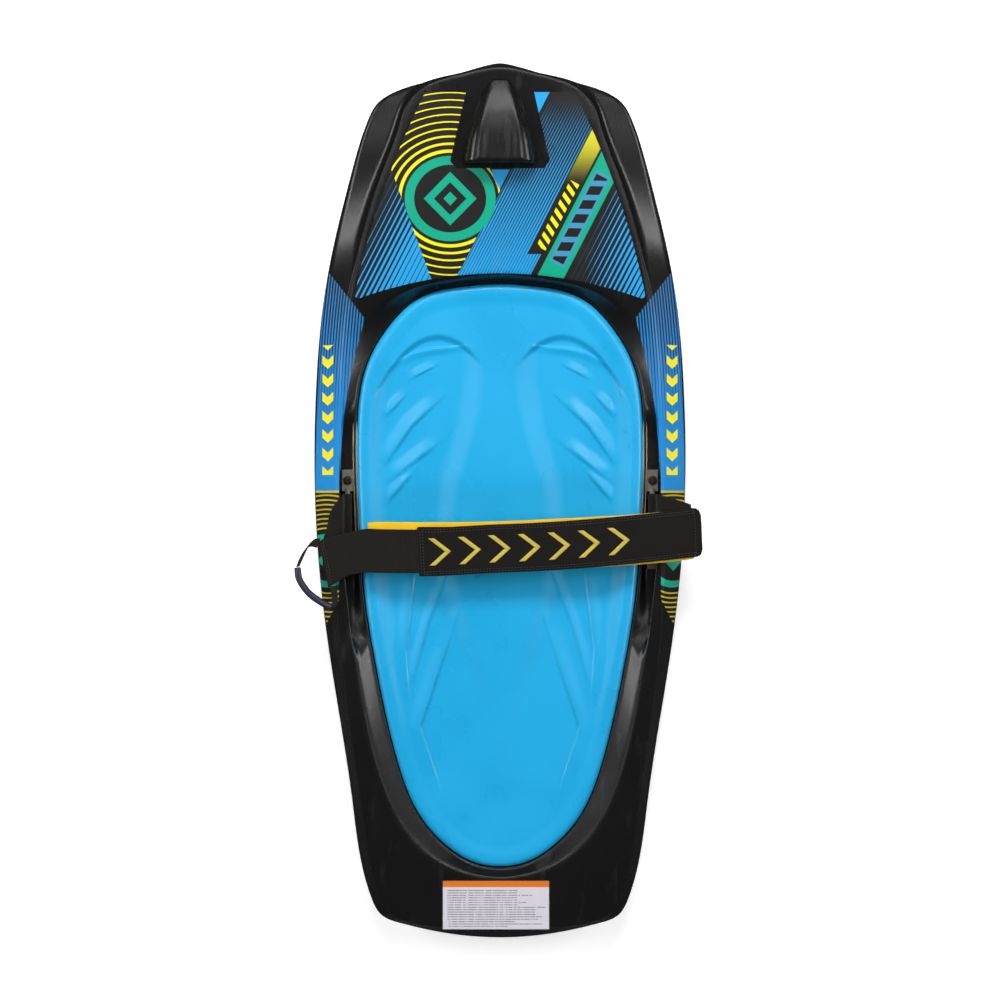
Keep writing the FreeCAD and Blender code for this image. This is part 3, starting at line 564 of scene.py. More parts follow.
def strip(name, path, sideways, widths, thickness, body, slot, material, replaces=(),
          relief=None, columns=22):
    """A flat closed band along a path; relief(along, across) moves it off its plane.

    The cloth attribute holds the distance along, the distance across and the side."""
    path = np.asarray(path, float)
    sideways = unit(np.broadcast_to(np.asarray(sideways, float), path.shape))
    widths = np.broadcast_to(np.asarray(widths, float), len(path))
    normal = unit(np.cross(np.gradient(path, axis=0), sideways))
    if normal[:, 2].sum() < 0:
        normal = -normal
    rings, cloth = [], []
    for here, side, up, width, along in zip(path, sideways, normal, widths, measured(path)):
        half = width / 2
        edge = min(thickness / 2, half)
        turn = np.array([0.0, 0.08, 0.3, 0.62, 1.0]) * edge
        flat = np.linspace(-half + edge, half - edge, columns)[1:-1]
        across = np.concatenate([-half + turn, flat, half - turn[::-1]])
        over = np.maximum(np.abs(across) - (half - edge), 0) / edge
        lift = thickness / 2 * np.sqrt(np.clip(1 - over ** 2, 0, 1))
        extra = relief(along, across) if relief else 0.0
        top = here + side * across[:, None] + up * (lift + extra)[:, None]
        low = here + side * across[:, None] + up * (extra - lift)[:, None]
        rings.append(there_and_back(top, low))
        reach = there_and_back(across, across)
        face = there_and_back(np.ones(len(across)), np.zeros(len(across)))
        cloth.append(np.column_stack([np.full(len(reach), along), reach, face]))
    points, faces = skin(rings)
    return add_piece(name, points, faces, body, slot, material, replaces, np.concatenate(cloth))


def circle(count):
    """The cosines and sines of a full turn, as columns."""
    turn = 2 * math.pi * np.arange(count) / count
    return np.cos(turn)[:, None], np.sin(turn)[:, None]


def round_bar(path, radii, around=20):
    """Rings of a round bar along a path."""
    path = np.asarray(path, float)
    radii = np.broadcast_to(np.asarray(radii, float), len(path))
    side = unit(np.cross(unit(np.gradient(path, axis=0)), UP))
    up = np.cross(side, unit(np.gradient(path, axis=0)))
    cos, sin = circle(around)
    return [here + radius * (cos * s + sin * u)
            for here, radius, s, u in zip(path, radii, side, up)]


STITCH, STITCH_PITCH, THREAD = 3.2, 4.6, 0.42       # length, spacing and radius of a stitch
STITCH_STOPS = np.array([0, 0.12, 0.35, 0.65, 0.88, 1.0])
STITCH_SINK = np.array([-0.9, -0.2, 0.25, 0.25, -0.2, -0.9])
STITCH_SIZE = np.array([0.25, 0.8, 1.0, 1.0, 0.8, 0.25])


def stitches(name, runs, body, slot, material):
    """Rows of short thread stitches along each run of points."""
    cos, sin = circle(6)
    skins = []
    for run in runs:
        total = measured(run)
        for start in np.arange(0.5, total[-1] - STITCH, STITCH_PITCH):
            stops = start + STITCH * STITCH_STOPS
            middle = np.column_stack([np.interp(stops, total, column) for column in run.T])
            ahead = unit(middle[-1] - middle[0])
            side = unit(np.cross(ahead, UP))
            up = np.cross(side, ahead)
            rings = [here + up * sink + wide * (cos * side + sin * up) for here, sink, wide
                     in zip(middle, STITCH_SINK * THREAD, STITCH_SIZE * THREAD)]
            skins.append(skin(rings))
    points, faces = joined(skins)
    add_piece(name, points, faces, body, slot, material)


# ---- outlines
# Half plans from the nose to the tail; the marks say where the nose turns into the
# side and the side into the tail, so that rings pair up.

RIM = [(0, 648), (17, 645.5), (85, 627), (158, 606), (182, 590), (196, 566), (224, 479),
       (247, 390), (264, 301), (275, 183), (278, 40), (268, -130), (250, -262), (222, -440),
       (193, -588), (178, -614), (148, -627), (78, -642), (0, -648)]
SHOULDER = [(0, 637), (60, 626), (112, 611), (133, 592), (149, 552), (180, 470), (206, 385),
            (228, 290), (240, 180), (242, 40), (240, -178), (229, -278), (214, -386),
            (199, -490), (182, -570), (160, -608), (90, -628), (0, -634)]
CREST = [(0, 339), (77, 330), (154, 308), (200, 268), (226, 200), (235, 110), (237, 0),
         (232, -90), (222, -163), (210, -257), (190, -368), (156, -462), (127, -505),
         (66, -544), (0, -556)]
PAD = [(0, 326.5), (60, 322), (114, 309), (165, 264), (201, 198), (212, 130), (211, 0),
       (199, -158), (184, -247), (154, -380), (116, -470), (78, -511), (40, -534), (0, -541)]
STATIONS = (60, 260, 60)


def mirrored(right):
    """A whole loop from its +X half: nose, +X side, tail, -X side."""
    return np.vstack([right, right[-2:0:-1] * (-1, 1)])


def outline(points, marks):
    """A smooth closed plan through the points, with the same stations on every plan."""
    right = np.array(points, float)
    p = mirrored(right)
    ahead = np.roll(p, -1, 0) - p
    after = np.linalg.norm(ahead, axis=1)
    before = np.roll(after, 1)
    chord = ahead / after[:, None]
    rows = np.arange(len(p))
    system = np.zeros((len(p), len(p)))
    system[rows, rows - 1] = after
    system[rows, rows] = 2 * (before + after)
    system[rows, (rows + 1) % len(p)] = before
    slope = np.linalg.solve(system, 3 * (after[:, None] * np.roll(chord, 1, 0)
                                         + before[:, None] * chord))
    t = np.linspace(0, 1, 24, endpoint=False)[:, None]
    stops = [0, *marks, len(right) - 1]
    half = []
    for start, end, count in zip(stops, stops[1:], STATIONS):
        fine = [(1 + 2 * t) * (1 - t) ** 2 * p[i] + t * (1 - t) ** 2 * slope[i] * after[i]
                + t * t * (3 - 2 * t) * p[i + 1] + t * t * (t - 1) * slope[i + 1] * after[i]
                for i in range(start, end)]
        half.append(evenly(np.vstack(fine + [p[end:end + 1]]), count, endpoint=False))
    return mirrored(np.vstack(half + [right[-1:]]))


def inset(loop, distance):
    along = unit(np.roll(loop, -1, 0) - np.roll(loop, 1, 0))
    inward = np.column_stack([along[:, 1], -along[:, 0]])
    return loop + inward * distance


def at(loop, z):
    return np.column_stack([loop, np.broadcast_to(z, len(loop))])


def rim_height(y):
    return RIM_HEIGHT + 68 * share(y, 60, NOSE) ** 2.2 + 12 * share(-y, 200, NOSE) ** 2


def deck_height(y):
    return DECK + NOSE_RISE * share(y, 200, NOSE) ** 1.3 - 5 * share(-y, 300, NOSE)


rim = outline(RIM, (4, 15))
shoulder = outline(SHOULDER, (3, 15))
crest = outline(CREST, (2, 12))
pad = outline(PAD, (2, 10))


# ---- board shell

def belly_loop():
    """The flat of the hull: an ellipse with fuller corners."""
    half = np.pi * np.arange(sum(STATIONS) + 1) / sum(STATIONS)
    power = 2 / 2.6
    cos, sin = np.cos(half), np.sin(half)
    across = np.abs(sin) ** power * BELLY[0]
    ahead = np.sign(cos) * np.abs(cos) ** power * BELLY[1] + BELLY_MIDDLE
    return mirrored(np.column_stack([across, ahead]))


def toward_keel(loop, part, front, back):
    """A loop drawn in towards the centreline between two stations."""
    keel = np.column_stack([np.zeros(len(loop)), np.clip(loop[:, 1], back, front)])
    return loop + (keel - loop) * part


def shell_rings():
    """From the keel out round the rim, over the deck and down into the pad's recess."""
    belly = belly_loop()
    lift = rim_height(rim[:, 1])
    chine = at(inset(rim, 22), lift - 26)
    bilge = at(belly * 0.45 + inset(rim, 24) * 0.55, 0.40 * (lift - 26))

    wing = smooth(325, 410, shoulder[:, 1])
    wing_step = 11 * wing * (0.25 + 0.75 * smooth(60, 135, np.abs(shoulder[:, 0])))
    wing_foot = inset(shoulder, -(0.6 + 5.4 * wing)[:, None])
    deck = deck_height(shoulder[:, 1])

    lip_height = 64
    lip = inset(pad, -4.5)
    recess = inset(pad, -1.2)
    channel = smooth(-215, -135, lip[:, 1]) * (1 - smooth(100, 160, lip[:, 1]))
    pocket = smooth(-78, -70, lip[:, 1]) * (1 - smooth(22, 30, lip[:, 1]))
    ledge = LEDGE - 8 * pocket
    bank = deck_height(crest[:, 1])
    floors = []
    for part, reach in ((0.40, 238.5), (0.80, 217.0)):
        slope = at(crest + (lip - crest) * part, bank + (lip_height - bank) * part)
        trough = np.column_stack([np.sign(slope[:, 0]) * reach, slope[:, 1], ledge])
        floors.append(slope + (trough - slope) * channel[:, None])

    keys = [
        (at(toward_keel(belly, 1.0, 150, -235), 0), 0),
        (at(toward_keel(belly, 0.35, 150, -235), 0), 8),
        (at(belly, 0), 60),
        (bilge, 60),
        (chine, 14),
        (at(inset(rim, 2), lift - 6), 5),
        (at(rim, lift), 4),
        (at(inset(rim, 4), lift + 6.5), 6),
        (at(wing_foot, deck - wing_step - 0.3), 4 + 5 * wing[:, None]),
        (at(shoulder, deck), 4.5),
        (at(crest, bank), 11),
        (floors[0], 3),
        (floors[1], 3),
        (at(lip, lip_height), 3),
        (at(recess, lip_height - 0.8), 1),
        (at(recess, BED), 1.5),
        (at(toward_keel(recess, 0.5, 180, -380), BED), 5),
        (at(toward_keel(recess, 1.0, 180, -380), BED), 0),
    ]
    return refined(rounded(keys), longest=60)


shell_material = shell_paint()
shell = add_piece("shell", *skin(shell_rings(), capped=False), "board", "shell_black",
                  shell_material, ["board_shell"])


def add_foam():
    """The poured core, which fills the shell."""
    mesh = shell.data
    place = np.zeros(len(mesh.vertices) * 3, np.float32)
    mesh.vertices.foreach_get("co", place)
    normal = np.zeros(len(mesh.vertices) * 3, np.float32)
    mesh.vertex_normals.foreach_get("vector", normal)
    inner = place.reshape(-1, 3) / MM - normal.reshape(-1, 3) * FOAM_INSET
    faces = [list(face.vertices) for face in mesh.polygons]
    add_piece("foam_filling", inner, faces, "board", "foam_fill", foam_paint(), ["foam_core"])


add_foam()


# ---- nose hook, fins

# Along the hook: y, half width, height.
HOOK = [(622, 6, 0.5), (612, 16, 5), (596, 26, 12), (571, 35, 22), (540, 46, 31),
        (505, 53, 37)]
# Round the back edge: y, how far inside the outer skin.
HOOK_LIP = [(502, 0.25), (499.6, 1.1), (498.2, 2.4), (497.8, 3.9), (498.6, 5.3), (500.5, 6.3)]
MOUTH = 506              # where the hook's hollow starts, ahead of the lip
ARCH_POINTS, SILL_POINTS = 61, 9


def hook_ring(y, half_width, height, inside=0.0, base=-5.0):
    """An arch across the deck, closed below it; inside draws it in from the outer skin."""
    angle = np.linspace(0, math.pi, ARCH_POINTS)
    cos, sin = np.cos(angle), np.sin(angle)
    across = np.sign(cos) * np.abs(cos) ** 0.60 * (half_width - inside)
    rise = sin ** 0.62 * (height - inside)
    middle = 1 - smooth(0.30, 0.72, np.abs(across) / half_width)
    hollow = 3.0 * smooth(0, 30, height) * middle
    flare = 4.0 * (1 - smooth(0, 7, rise)) * (inside == 0)
    ground = float(deck_height(y))
    arch = np.column_stack([across + np.sign(across) * flare, np.full(ARCH_POINTS, y),
                            ground + rise - hollow])
    feet = np.linspace(arch[-1, 0], arch[0, 0], SILL_POINTS)
    sill = np.column_stack([feet, np.full(SILL_POINTS, y), np.full(SILL_POINTS, ground + base)])
    return np.vstack([arch, sill])


def add_hook():
    """A raised hook, open at the back, with a rounded lip and a blind hollow."""
    stations = open_curve(HOOK, 34)
    rings = [hook_ring(*stations[0]) * (0, 1, 1)]
    rings += [hook_ring(*station) for station in stations]
    half_width, height = stations[-1][1:]
    swell = 0.6
    for back, inside in HOOK_LIP:
        rings.append(hook_ring(back, half_width + swell, height + swell, inside + 0.01,
                               -5 + inside * 0.9))
    for depth in (MOUTH, 514, 522, 530, 538):
        narrow = (depth - MOUTH) * 0.12
        rings.append(hook_ring(depth, half_width - narrow, height - narrow * 2.2, 7.0, 0.6))
    rings.append(rings[-1] * (0.6, 1, 1) + (0, 3, 0))
    add_piece("tow_hook", *skin(rings), "board", "shell_black", shell_material)


def add_fins():
    """Two keels under the tail, each with a raked front and a rounded foot."""
    top, depth, foot = 27, 22, 6
    cos, sin = circle(40)
    skins = []
    for side in (-1, 1):
        rings = []
        for z in (top, 22, 16, 10, 6.4, 5.2):
            part = (top - z) / depth
            back = -590 + 6 * part
            front = -466 - 84 * part ** 1.15
            along = (front + back) / 2 + (front - back) / 2 * cos
            thick = (5.2 - 1.7 * part) * (0.45 if z < foot else 1.0)
            across = side * 125 + thick * sin * (0.72 - 0.28 * cos)
            rings.append(np.column_stack([across, along, np.full(len(cos), float(z))]))
        skins.append(skin(rings))
    add_piece("hull_fins", *joined(skins), "board", "shell_black", shell_material)


add_hook()
add_fins()


# ---- knee pad

# The middle ridge: y, half width.
SPINE = [(-283, 13), (-202, 44), (-130, 65), (-84, 74), (-25, 74), (34, 67), (109, 44),
         (183, 30), (235, 33)]
# Moulded flutes: a line over the pad, height, width; all are mirrored.
FLUTES = [
    ([(154, 211), (128, 225), (100, 231), (54, 235)], 2.4, 13),
    ([(98, 203), (128, 187)], 1.6, 14),
    ([(141, 160), (170, 128)], 1.8, 16),
    ([(91.5, 151.5), (131, 114), (172.6, 53.7)], 2.4, 24),
    ([(93.4, 87), (158, 37)], 2.2, 22),
    ([(129, 45.4), (166, 2)], 2.0, 18),
    ([(126, -99), (140, -217), (136, -277)], 2.2, 22),
    ([(67, -180), (118, -333), (93, -410)], 2.4, 26),
    ([(77, -103), (104, -173), (133, -277)], 2.0, 18),
]
WELL = 7                 # depth of the two knee wells
EDGE_ROUND = 10          # radius of the pad's upper edge
PAD_UNDERSIDE = 44.1
PAD_KEEL = (150, -350)   # stations of the line that the pad's rings close on


def from_line(x, y, line):
    """Signed distance from a chain of points, and how far along it, 0 to 1."""
    line = np.array(line, float)
    best = np.full(x.shape, 1e9)
    side = np.zeros(x.shape)
    where = np.zeros(x.shape)
    total = measured(line)
    for number, (a, b) in enumerate(zip(line, line[1:])):
        run = b - a
        length = np.linalg.norm(run)
        t = ((x - a[0]) * run[0] + (y - a[1]) * run[1]) / (run @ run)
        held = np.clip(t, 0, 1)
        away = np.hypot(x - a[0] - held * run[0], y - a[1] - held * run[1])
        cross = (run[0] * (y - a[1]) - run[1] * (x - a[0])) / length
        nearer = away < best
        best = np.where(nearer, away, best)
        side = np.where(nearer, np.sign(cross), side)
        where = np.where(nearer, (total[number] + held * length) / total[-1], where)
    return best * side, where


def pad_top(loop, depth):
    """Height of the pad's face; depth is the distance in from its edge."""
    x, y = np.abs(loop[:, 0]), loop[:, 1]
    spine = np.interp(y, *np.transpose(SPINE))
    brow = 250 - 0.0095 * (x - 92) ** 2
    well = smooth(-2, 10, brow - y) * smooth(-12, 28, x - spine) * smooth(14, 46, depth)
    well *= smooth(-430, -150, y)
    face = PAD_FACE + 2.5 * (1 - smooth(12, 32, depth)) - WELL * well
    face -= 4 * smooth(-230, -400, y) * smooth(26, 110, depth)
    for line, height, width in FLUTES:
        away, along = from_line(x, y, line)
        bell = np.sqrt(np.sin(np.pi * np.clip(along, 0.02, 0.98)))
        rise = smooth(-0.9, 0.6, away) * (1 - smooth(0.6, width, away))
        face += 1.5 * height * bell * rise * smooth(20, 34, depth)
    return face


def pad_rings():
    rings = [at(toward_keel(pad, 1.0, *PAD_KEEL), PAD_UNDERSIDE), at(inset(pad, 1), PAD_UNDERSIDE)]
    rings += [at(pad, z) for z in (45.1, 50, 54, 57)]
    for angle in np.radians(np.linspace(0, 90, 11)):
        loop = inset(pad, EDGE_ROUND * (1 - math.cos(angle)))
        rings.append(at(loop, pad_top(loop, EDGE_ROUND) - EDGE_ROUND * (1 - math.sin(angle))))
    for depth in np.arange(12, 33, 2.0):
        last = inset(pad, depth)
        rings.append(at(last, pad_top(last, depth)))
    keel = toward_keel(last, 1.0, *PAD_KEEL)
    room = np.linalg.norm(keel - last, axis=1)
    for part in np.linspace(0, 1, 140)[1:]:
        loop = last + (keel - last) * part
        rings.append(at(loop, pad_top(loop, 32 + room * part)))
    return rings


add_piece("pad_cushion", *skin(pad_rings(), capped=False), "board", "pad_blue", pad_paint(),
          ["knee_pad"])


# ---- padded strap

hinge = np.array(joints["strap_swing"]["pos_m"], float) / MM
axis = np.array(joints["strap_swing"]["axis"], float)
out_back = unit(np.cross(UP, axis))

CROWN = 272.0            # from the hinge to the top of the strap's arch
CROWN_RISE = 12.0
BASE = 1.4               # underside of the strap above the hinge
TIP = 490.0              # from the hinge to the strap's free end
BOW = -9.5               # sideways bow at the strap's middle
ARC = (CROWN ** 2 + CROWN_RISE ** 2) / (2 * CROWN_RISE)
COVER_START, COVER_END = -8, 412
COVER_THICK = 1.7
COVER_LIFT = 8.7         # middle of the cover above the strap's underside
TAIL_LIFT = 6.9          # middle of the free end's webbing


def strap_at(back, across=0.0, lift=0.0):
    """A point of the strap: back from the hinge, across its width, above its underside."""
    back = np.asarray(back, float)
    height = np.sqrt((ARC + lift) ** 2 - (back - CROWN) ** 2) - (ARC - CROWN_RISE - BASE)
    bow = BOW * np.sin(np.pi * np.clip(back, 0, TIP) / TIP)
    flat = hinge + out_back * back[..., None] + axis * (bow + across)[..., None]
    return flat + UP * height[..., None]


webbing = woven_paint("webbing_black", STRAP_BLACK, srgb(36, 33, 29), 1.9, 2.3)
cover_cloth = woven_paint("cover_cloth", STRAP_BLACK, srgb(28, 25, 22), 1.1, 1.2, 0.12)
thread_black = stitch_paint("thread_black", srgb(36, 36, 36))


def puff(piece, pinned, frames=20, pressure=4.0, cap=1.6):
    """Inflate a piece as cloth, with the pinned points held and every move capped."""
    rest = np.array([v.co for v in piece.data.vertices])
    group = piece.vertex_groups.new(name="sewn")
    group.add(pinned, 1.0, "REPLACE")
    cloth = piece.modifiers.new("puff", "CLOTH")
    settings = cloth.settings
    settings.quality = 5
    settings.mass = 0.2
    settings.tension_stiffness = 12
    settings.compression_stiffness = 12
    settings.bending_stiffness = 0.4
    settings.use_pressure = True
    settings.uniform_pressure_force = pressure
    settings.vertex_group_mass = "sewn"
    settings.effector_weights.gravity = 0
    scene = bpy.context.scene
    for number in range(1, frames + 1):
        scene.frame_set(number)
    graph = bpy.context.evaluated_depsgraph_get()
    shape = piece.evaluated_get(graph).to_mesh()
    moved = np.array([v.co for v in shape.vertices])
    piece.evaluated_get(graph).to_mesh_clear()
    piece.modifiers.remove(cloth)
    scene.frame_set(1)
    move = moved - rest
    far = np.linalg.norm(move, axis=1, keepdims=True)
    held = move * np.minimum(1.0, cap * MM / np.maximum(far, 1e-9))
    piece.data.vertices.foreach_set("co", (rest + held).astype(np.float32).ravel())
    piece.data.update()


def add_cushion():
    """The neoprene pad, swelling between its bound edges."""
    count, binding = 124, 3
    back = np.linspace(5, 484, count)
    path = strap_at(back, -5.0 + 4.6 * smooth(20, 240, back), 2.7)
    widths = 74.5 - 2.2 * np.abs(np.linspace(-1, 1, count)) ** 30
    piece = strip("strap_cushion", path, axis, widths, 4.6, "strap", "neoprene_yellow",
                  neoprene_paint(), ["strap_pad"], columns=20)
    layer = piece.data.attributes["cloth"].data
    cloth = np.zeros(len(layer) * 3, np.float32)
    layer.foreach_get("vector", cloth)
    along, across = cloth.reshape(-1, 3).T[:2] / MM
    sewn = (np.abs(across) > 35.0) | (along < binding) | (along > along.max() - binding)
    puff(piece, np.flatnonzero(sewn).tolist())


def cover_shift(back):
    """The cover lies a little to the tail's side of the strap, more at its free end."""
    return -3.3 - 4.0 * smooth(290, COVER_END, back)


def cover_relief(along, across):
    """The cover droops over the pad's edges, dips at its ends and lies a little uneven."""
    droop = -1.1 * (np.abs(across) / 37) ** 4
    ripple = 0.35 * np.sin(along / 31) * np.cos(across / 19)
    ripple = ripple + 0.22 * np.sin(along / 11 + across / 9)
    dip = -1.3 * smooth(392, 420, along) - 1.1 * (1 - smooth(0, 14, along))
    return droop + ripple + dip


def on_cover(back, across, lift):
    """A point that follows the cover's shift and relief, at a height above the strap."""
    relief = cover_relief(back - COVER_START, across)
    return strap_at(back, cover_shift(back) + across, lift + relief)


def add_cover():
    """The outer cover with its rounded sewn end, the band below it and the stitching."""
    back = np.linspace(COVER_START, COVER_END, 180)
    radius = 10
    into = radius - np.clip(back - COVER_START, 0, radius)
    corner = radius - np.sqrt(np.maximum(radius ** 2 - into ** 2, 0))
    strip("cover_top", strap_at(back, cover_shift(back), COVER_LIFT), axis,
          STRAP_WIDTH - 2 * corner, COVER_THICK, "strap", "webbing_black", cover_cloth,
          ["strap_cover"], cover_relief, 30)
    core = strap_at(np.linspace(-5, 410, 90), -1.0, 6.3)
    strip("strap_core_band", core, axis, 62.0, 1.2, "strap", "webbing_black", webbing,
          ["strap_core"])
    stops = np.linspace(2, 408, 220)
    runs = [on_cover(stops, side * far, 9.65) for side in (-1, 1) for far in (32.6, 29.2)]
    row = np.linspace(-32, 32, 60)
    runs += [on_cover(np.full(60, back), row, 9.4) for back in (2.0, 404.0, 408.0)]
    stitches("cover_stitching", runs, "strap", "webbing_black", thread_black)


def add_embroidery():
    """Raised satin chevrons along the cover, each arm a rounded bar of thread."""
    first, spacing, half_bar = 132, 44, 4.5
    arm_across, arm_along = 20, 24
    run = np.linspace(-half_bar, half_bar, 13)
    bulge = 0.9 * np.sqrt(np.clip(1 - (run / 4.6) ** 4, 0, 1))
    ring = there_and_back(run, run)
    skins, cloth = [], []
    for number in range(7):
        tail = first + number * spacing
        for side in (-1, 1):
            rings = []
            for part in np.linspace(0, 1, 18):
                across = side * arm_across * (1 - part)
                back = tail - half_bar - arm_along * part + run
                top = on_cover(back, across, 9.25 + 0.25 + bulge)
                low = on_cover(back, across, 9.25 - 0.1)
                rings.append(there_and_back(top, low))
                cloth.append(np.column_stack([np.full(len(ring), part * 31),
                                              np.full(len(ring), part * arm_across), ring]))
            skins.append(skin(rings))
    add_piece("chevron_embroidery", *joined(skins), "strap", "thread_yellow",
              embroidery_paint(), ["strap_embroidery"], np.concatenate(cloth))


add_cushion()
add_cover()
add_embroidery()


# ---- free end of the strap

# The webbing's edges beyond the strap's arch.
TAIL_UPPER = [(-229, -45, 87.6), (-240, -48, 87.4), (-252, -50.5, 87.2), (-262, -54, 87.2),
              (-268, -57, 87.2)]
TAIL_LOWER = [(-222, -106, 87.6), (-233, -112, 87.4), (-243, -118, 87.2), (-251, -123, 87.2),
              (-254, -125, 87.2)]


def between(name, upper, lower, count, thickness, body, replaces, relief):
    """Webbing whose two edges run through the given points."""
    high = open_curve(upper, count)
    low = open_curve(lower, count)
    piece = strip(name, (high + low) / 2, high - low, np.linalg.norm(high - low, axis=1),
                  thickness, body, "webbing_black", webbing, replaces, relief, 30)
    return piece, high, low


def tail_relief(along, across):
    """Soft creases where the webbing leaves the cover, and a slight wave after it."""
    crease = np.exp(-((along - 24 - across * 0.12) / 2.8) ** 2) \
        + 0.8 * np.exp(-((along - 41 + across * 0.10) / 3.2) ** 2)
    return 0.3 * np.sin(along / 9 + across / 15) + 1.7 * crease * (1 - 0.4 * np.cos(across / 12))


def add_tail():
    """The free end, which bends where it leaves the strap."""
    upper, lower = [], []
    for back, drop in ((400, 1.2), (416, 0.0), (440, 0.0), (465, 0.0), (490, 0.0)):
        upper.append(strap_at(back, 26.0, TAIL_LIFT - drop))
        lower.append(strap_at(back, -38.5, TAIL_LIFT - drop))
    tail, high, low = between("tail_strap", upper + TAIL_UPPER, lower + TAIL_LOWER, 130, 2.2,
                              None, ["tail_webbing"], tail_relief)
    peel = [strap_at(back, -4.0, TAIL_LIFT) * MM for back in (404.0, 428.0)]
    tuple(peel[0])
    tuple(peel[1])
    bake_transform(tail)
    path = (high + low) / 2
    inward = unit(path[-8] - path[-1])
    runs = []
    for gap in (3.5, 7.0):
        end = open_curve([path[-1] + (high[-1] - low[-1]) * f * 0.46 for f in (-1, 0, 1)], 40)
        runs.append(end + inward * gap + (0, 0, 1.35))
    stitches("tail_stitching", runs, "strap_tail", "webbing_black", thread_black)


add_tail()


# ---- pull loop

def add_pull_loop():
    """A webbing lead, a rubber tube over the loop, and the webbing that comes back."""
    cord = woven_paint("loop_webbing", srgb(14, 14, 14), srgb(40, 39, 38), 1.6, 1.5)
    lead = open_curve([(-268, -59, 88.3), (-277, -58.5, 88), (-285, -65, 86.5), (-293, -79, 83.5),
                       (-299.5, -94, 81.2)], 50)
    turn = np.linspace(0, 1, 50)[:, None]
    side = unit((1 - turn) * np.array([0.35, 0.9, 0.0]) + turn * np.array([0.75, 0.1, 0.65]))
    widths = np.interp(turn[:, 0], [0, 0.25, 0.7, 1], [15, 13, 9, 6.4])
    strip("loop_lead", lead, side, widths, 1.8, "pull_loop", "webbing_black", cord,
          ["pull_cord"], columns=10)
    grip = open_curve([(-300, -95, 81.2), (-297, -113, 81.2), (-284, -132, 82), (-267, -145, 84.2),
                       (-249, -155, 87)], 70)
    outer = round_bar(grip, 5.1 - 0.5 * np.abs(np.linspace(-1, 1, 70)) ** 24)
    inner = round_bar(grip[::-1], 3.6)
    add_piece("loop_grip", *skin(outer + inner + outer[:1], capped=False), "pull_loop",
              "grip_rubber", tube_paint(), ["pull_tube"])
    back = open_curve([(-252, -153, 86.6), (-246, -154.5, 88), (-243.5, -148, 89.2),
                       (-244.5, -136, 89.6), (-246.5, -122, 89.7)], 40)
    strip("loop_return", back, (0.96, 0.2, 0.0), np.linspace(6.4, 10.5, 40), 1.8, "pull_loop",
          "webbing_black", cord, columns=10)


add_pull_loop()


# ---- anchored webbing

ANCHORED = 2.1           # thickness of the webbing round the bars


def sleeve(side):
    """A turn of webbing over the anchor bar, down its inner side and up to the leg."""
    turn = np.radians(np.linspace(296, -10, 60))
    radius = 5.3
    return np.column_stack([side * (BAR_X + radius * np.cos(turn)), np.full(60, BAR_Y),
                            BAR_Z - radius * np.sin(turn)])


def add_right_webbing():
    """Webbing round the right bar, up its channel and out over the rail."""
    rise = open_curve([(232.3, BAR_Y, BAR_Z), (232.6, BAR_Y, 70), (234, -24.5, 77.5),
                       (239, -26, 81.2), (250, -29, RAIL_TOP), (266, -34, RAIL_TOP),
                       (283, -39.5, RAIL_TOP)], 80)
    strip("right_webbing", np.vstack([sleeve(1)[:-1], rise]), (0, 1, 0), BAR_LENGTH, ANCHORED,
          "board", "webbing_black", webbing, ["right_anchor_webbing"],
          lambda along, across: 0.25 * np.sin(across / 8 + along / 17), 26)


def add_fold():
    """The strap's end, sewn to the webbing and bending over the rail."""
    path = open_curve([(268, -38.5, 83.9), (278, -40.5, 84.0), (287, -42, 84.4), (292, -42.3, 85.0),
                       (286, -42.2, 86.0)], 60)
    fold = strip("strap_fold", path, axis, 70.0, 1.5, None, "webbing_black", webbing, columns=18)
    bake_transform(fold)


def add_left_tab():
    """Webbing that turns round the left bar and fans out over the rail."""
    upper = [(-232.3, 14, BAR_Z), (-232.3, 14, 70), (-234.5, 11, 78), (-240, 5, 81.2),
             (-247.5, -6, 81.9), (-253, -18, 81.9), (-256.5, -36, 81.7), (-261, -50, 81.7)]
    lower = [(-232.3, -62, BAR_Z), (-232.3, -62, 70), (-234.5, -66, 78), (-240, -74, 81.2),
             (-247.5, -84, 81.7), (-253, -94, 81.7), (-259, -99, 81.7), (-263, -100, 81.7)]
    between("left_tab", upper, lower, 90, ANCHORED, "tab", ["anchor_tab"],
            lambda along, across: 0.3 * np.sin(across / 9 - along / 12))
    strip("left_sleeve", sleeve(-1), (0, 1, 0), BAR_LENGTH, ANCHORED, "tab", "webbing_black",
          webbing)


def add_tape(name, node, body):
    """A pad of hook or loop tape with a soft bristly face."""
    low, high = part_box(node)
    middle = (np.array(low) + np.array(high)) / 2 / MM
    lean = math.radians(16)
    along = np.array([math.cos(lean), math.sin(lean), 0])
    path = [middle + along * t for t in np.linspace(-8.8, 8.8, 14)]
    strip(name, path, (-along[1], along[0], 0), 39.4, 1.3, body, "tape_black", tape_paint(),
          [node], lambda along, across: 0.12 * np.sin(along * 3.1) * np.sin(across * 2.7), 40)


add_right_webbing()
add_fold()
add_left_tab()
add_tape("loop_tape", "anchor_loop_tape", "tab")
add_tape("hook_tape", "tail_hook_tape", "strap_tail")


# ---- CAD nodes that stay as they are

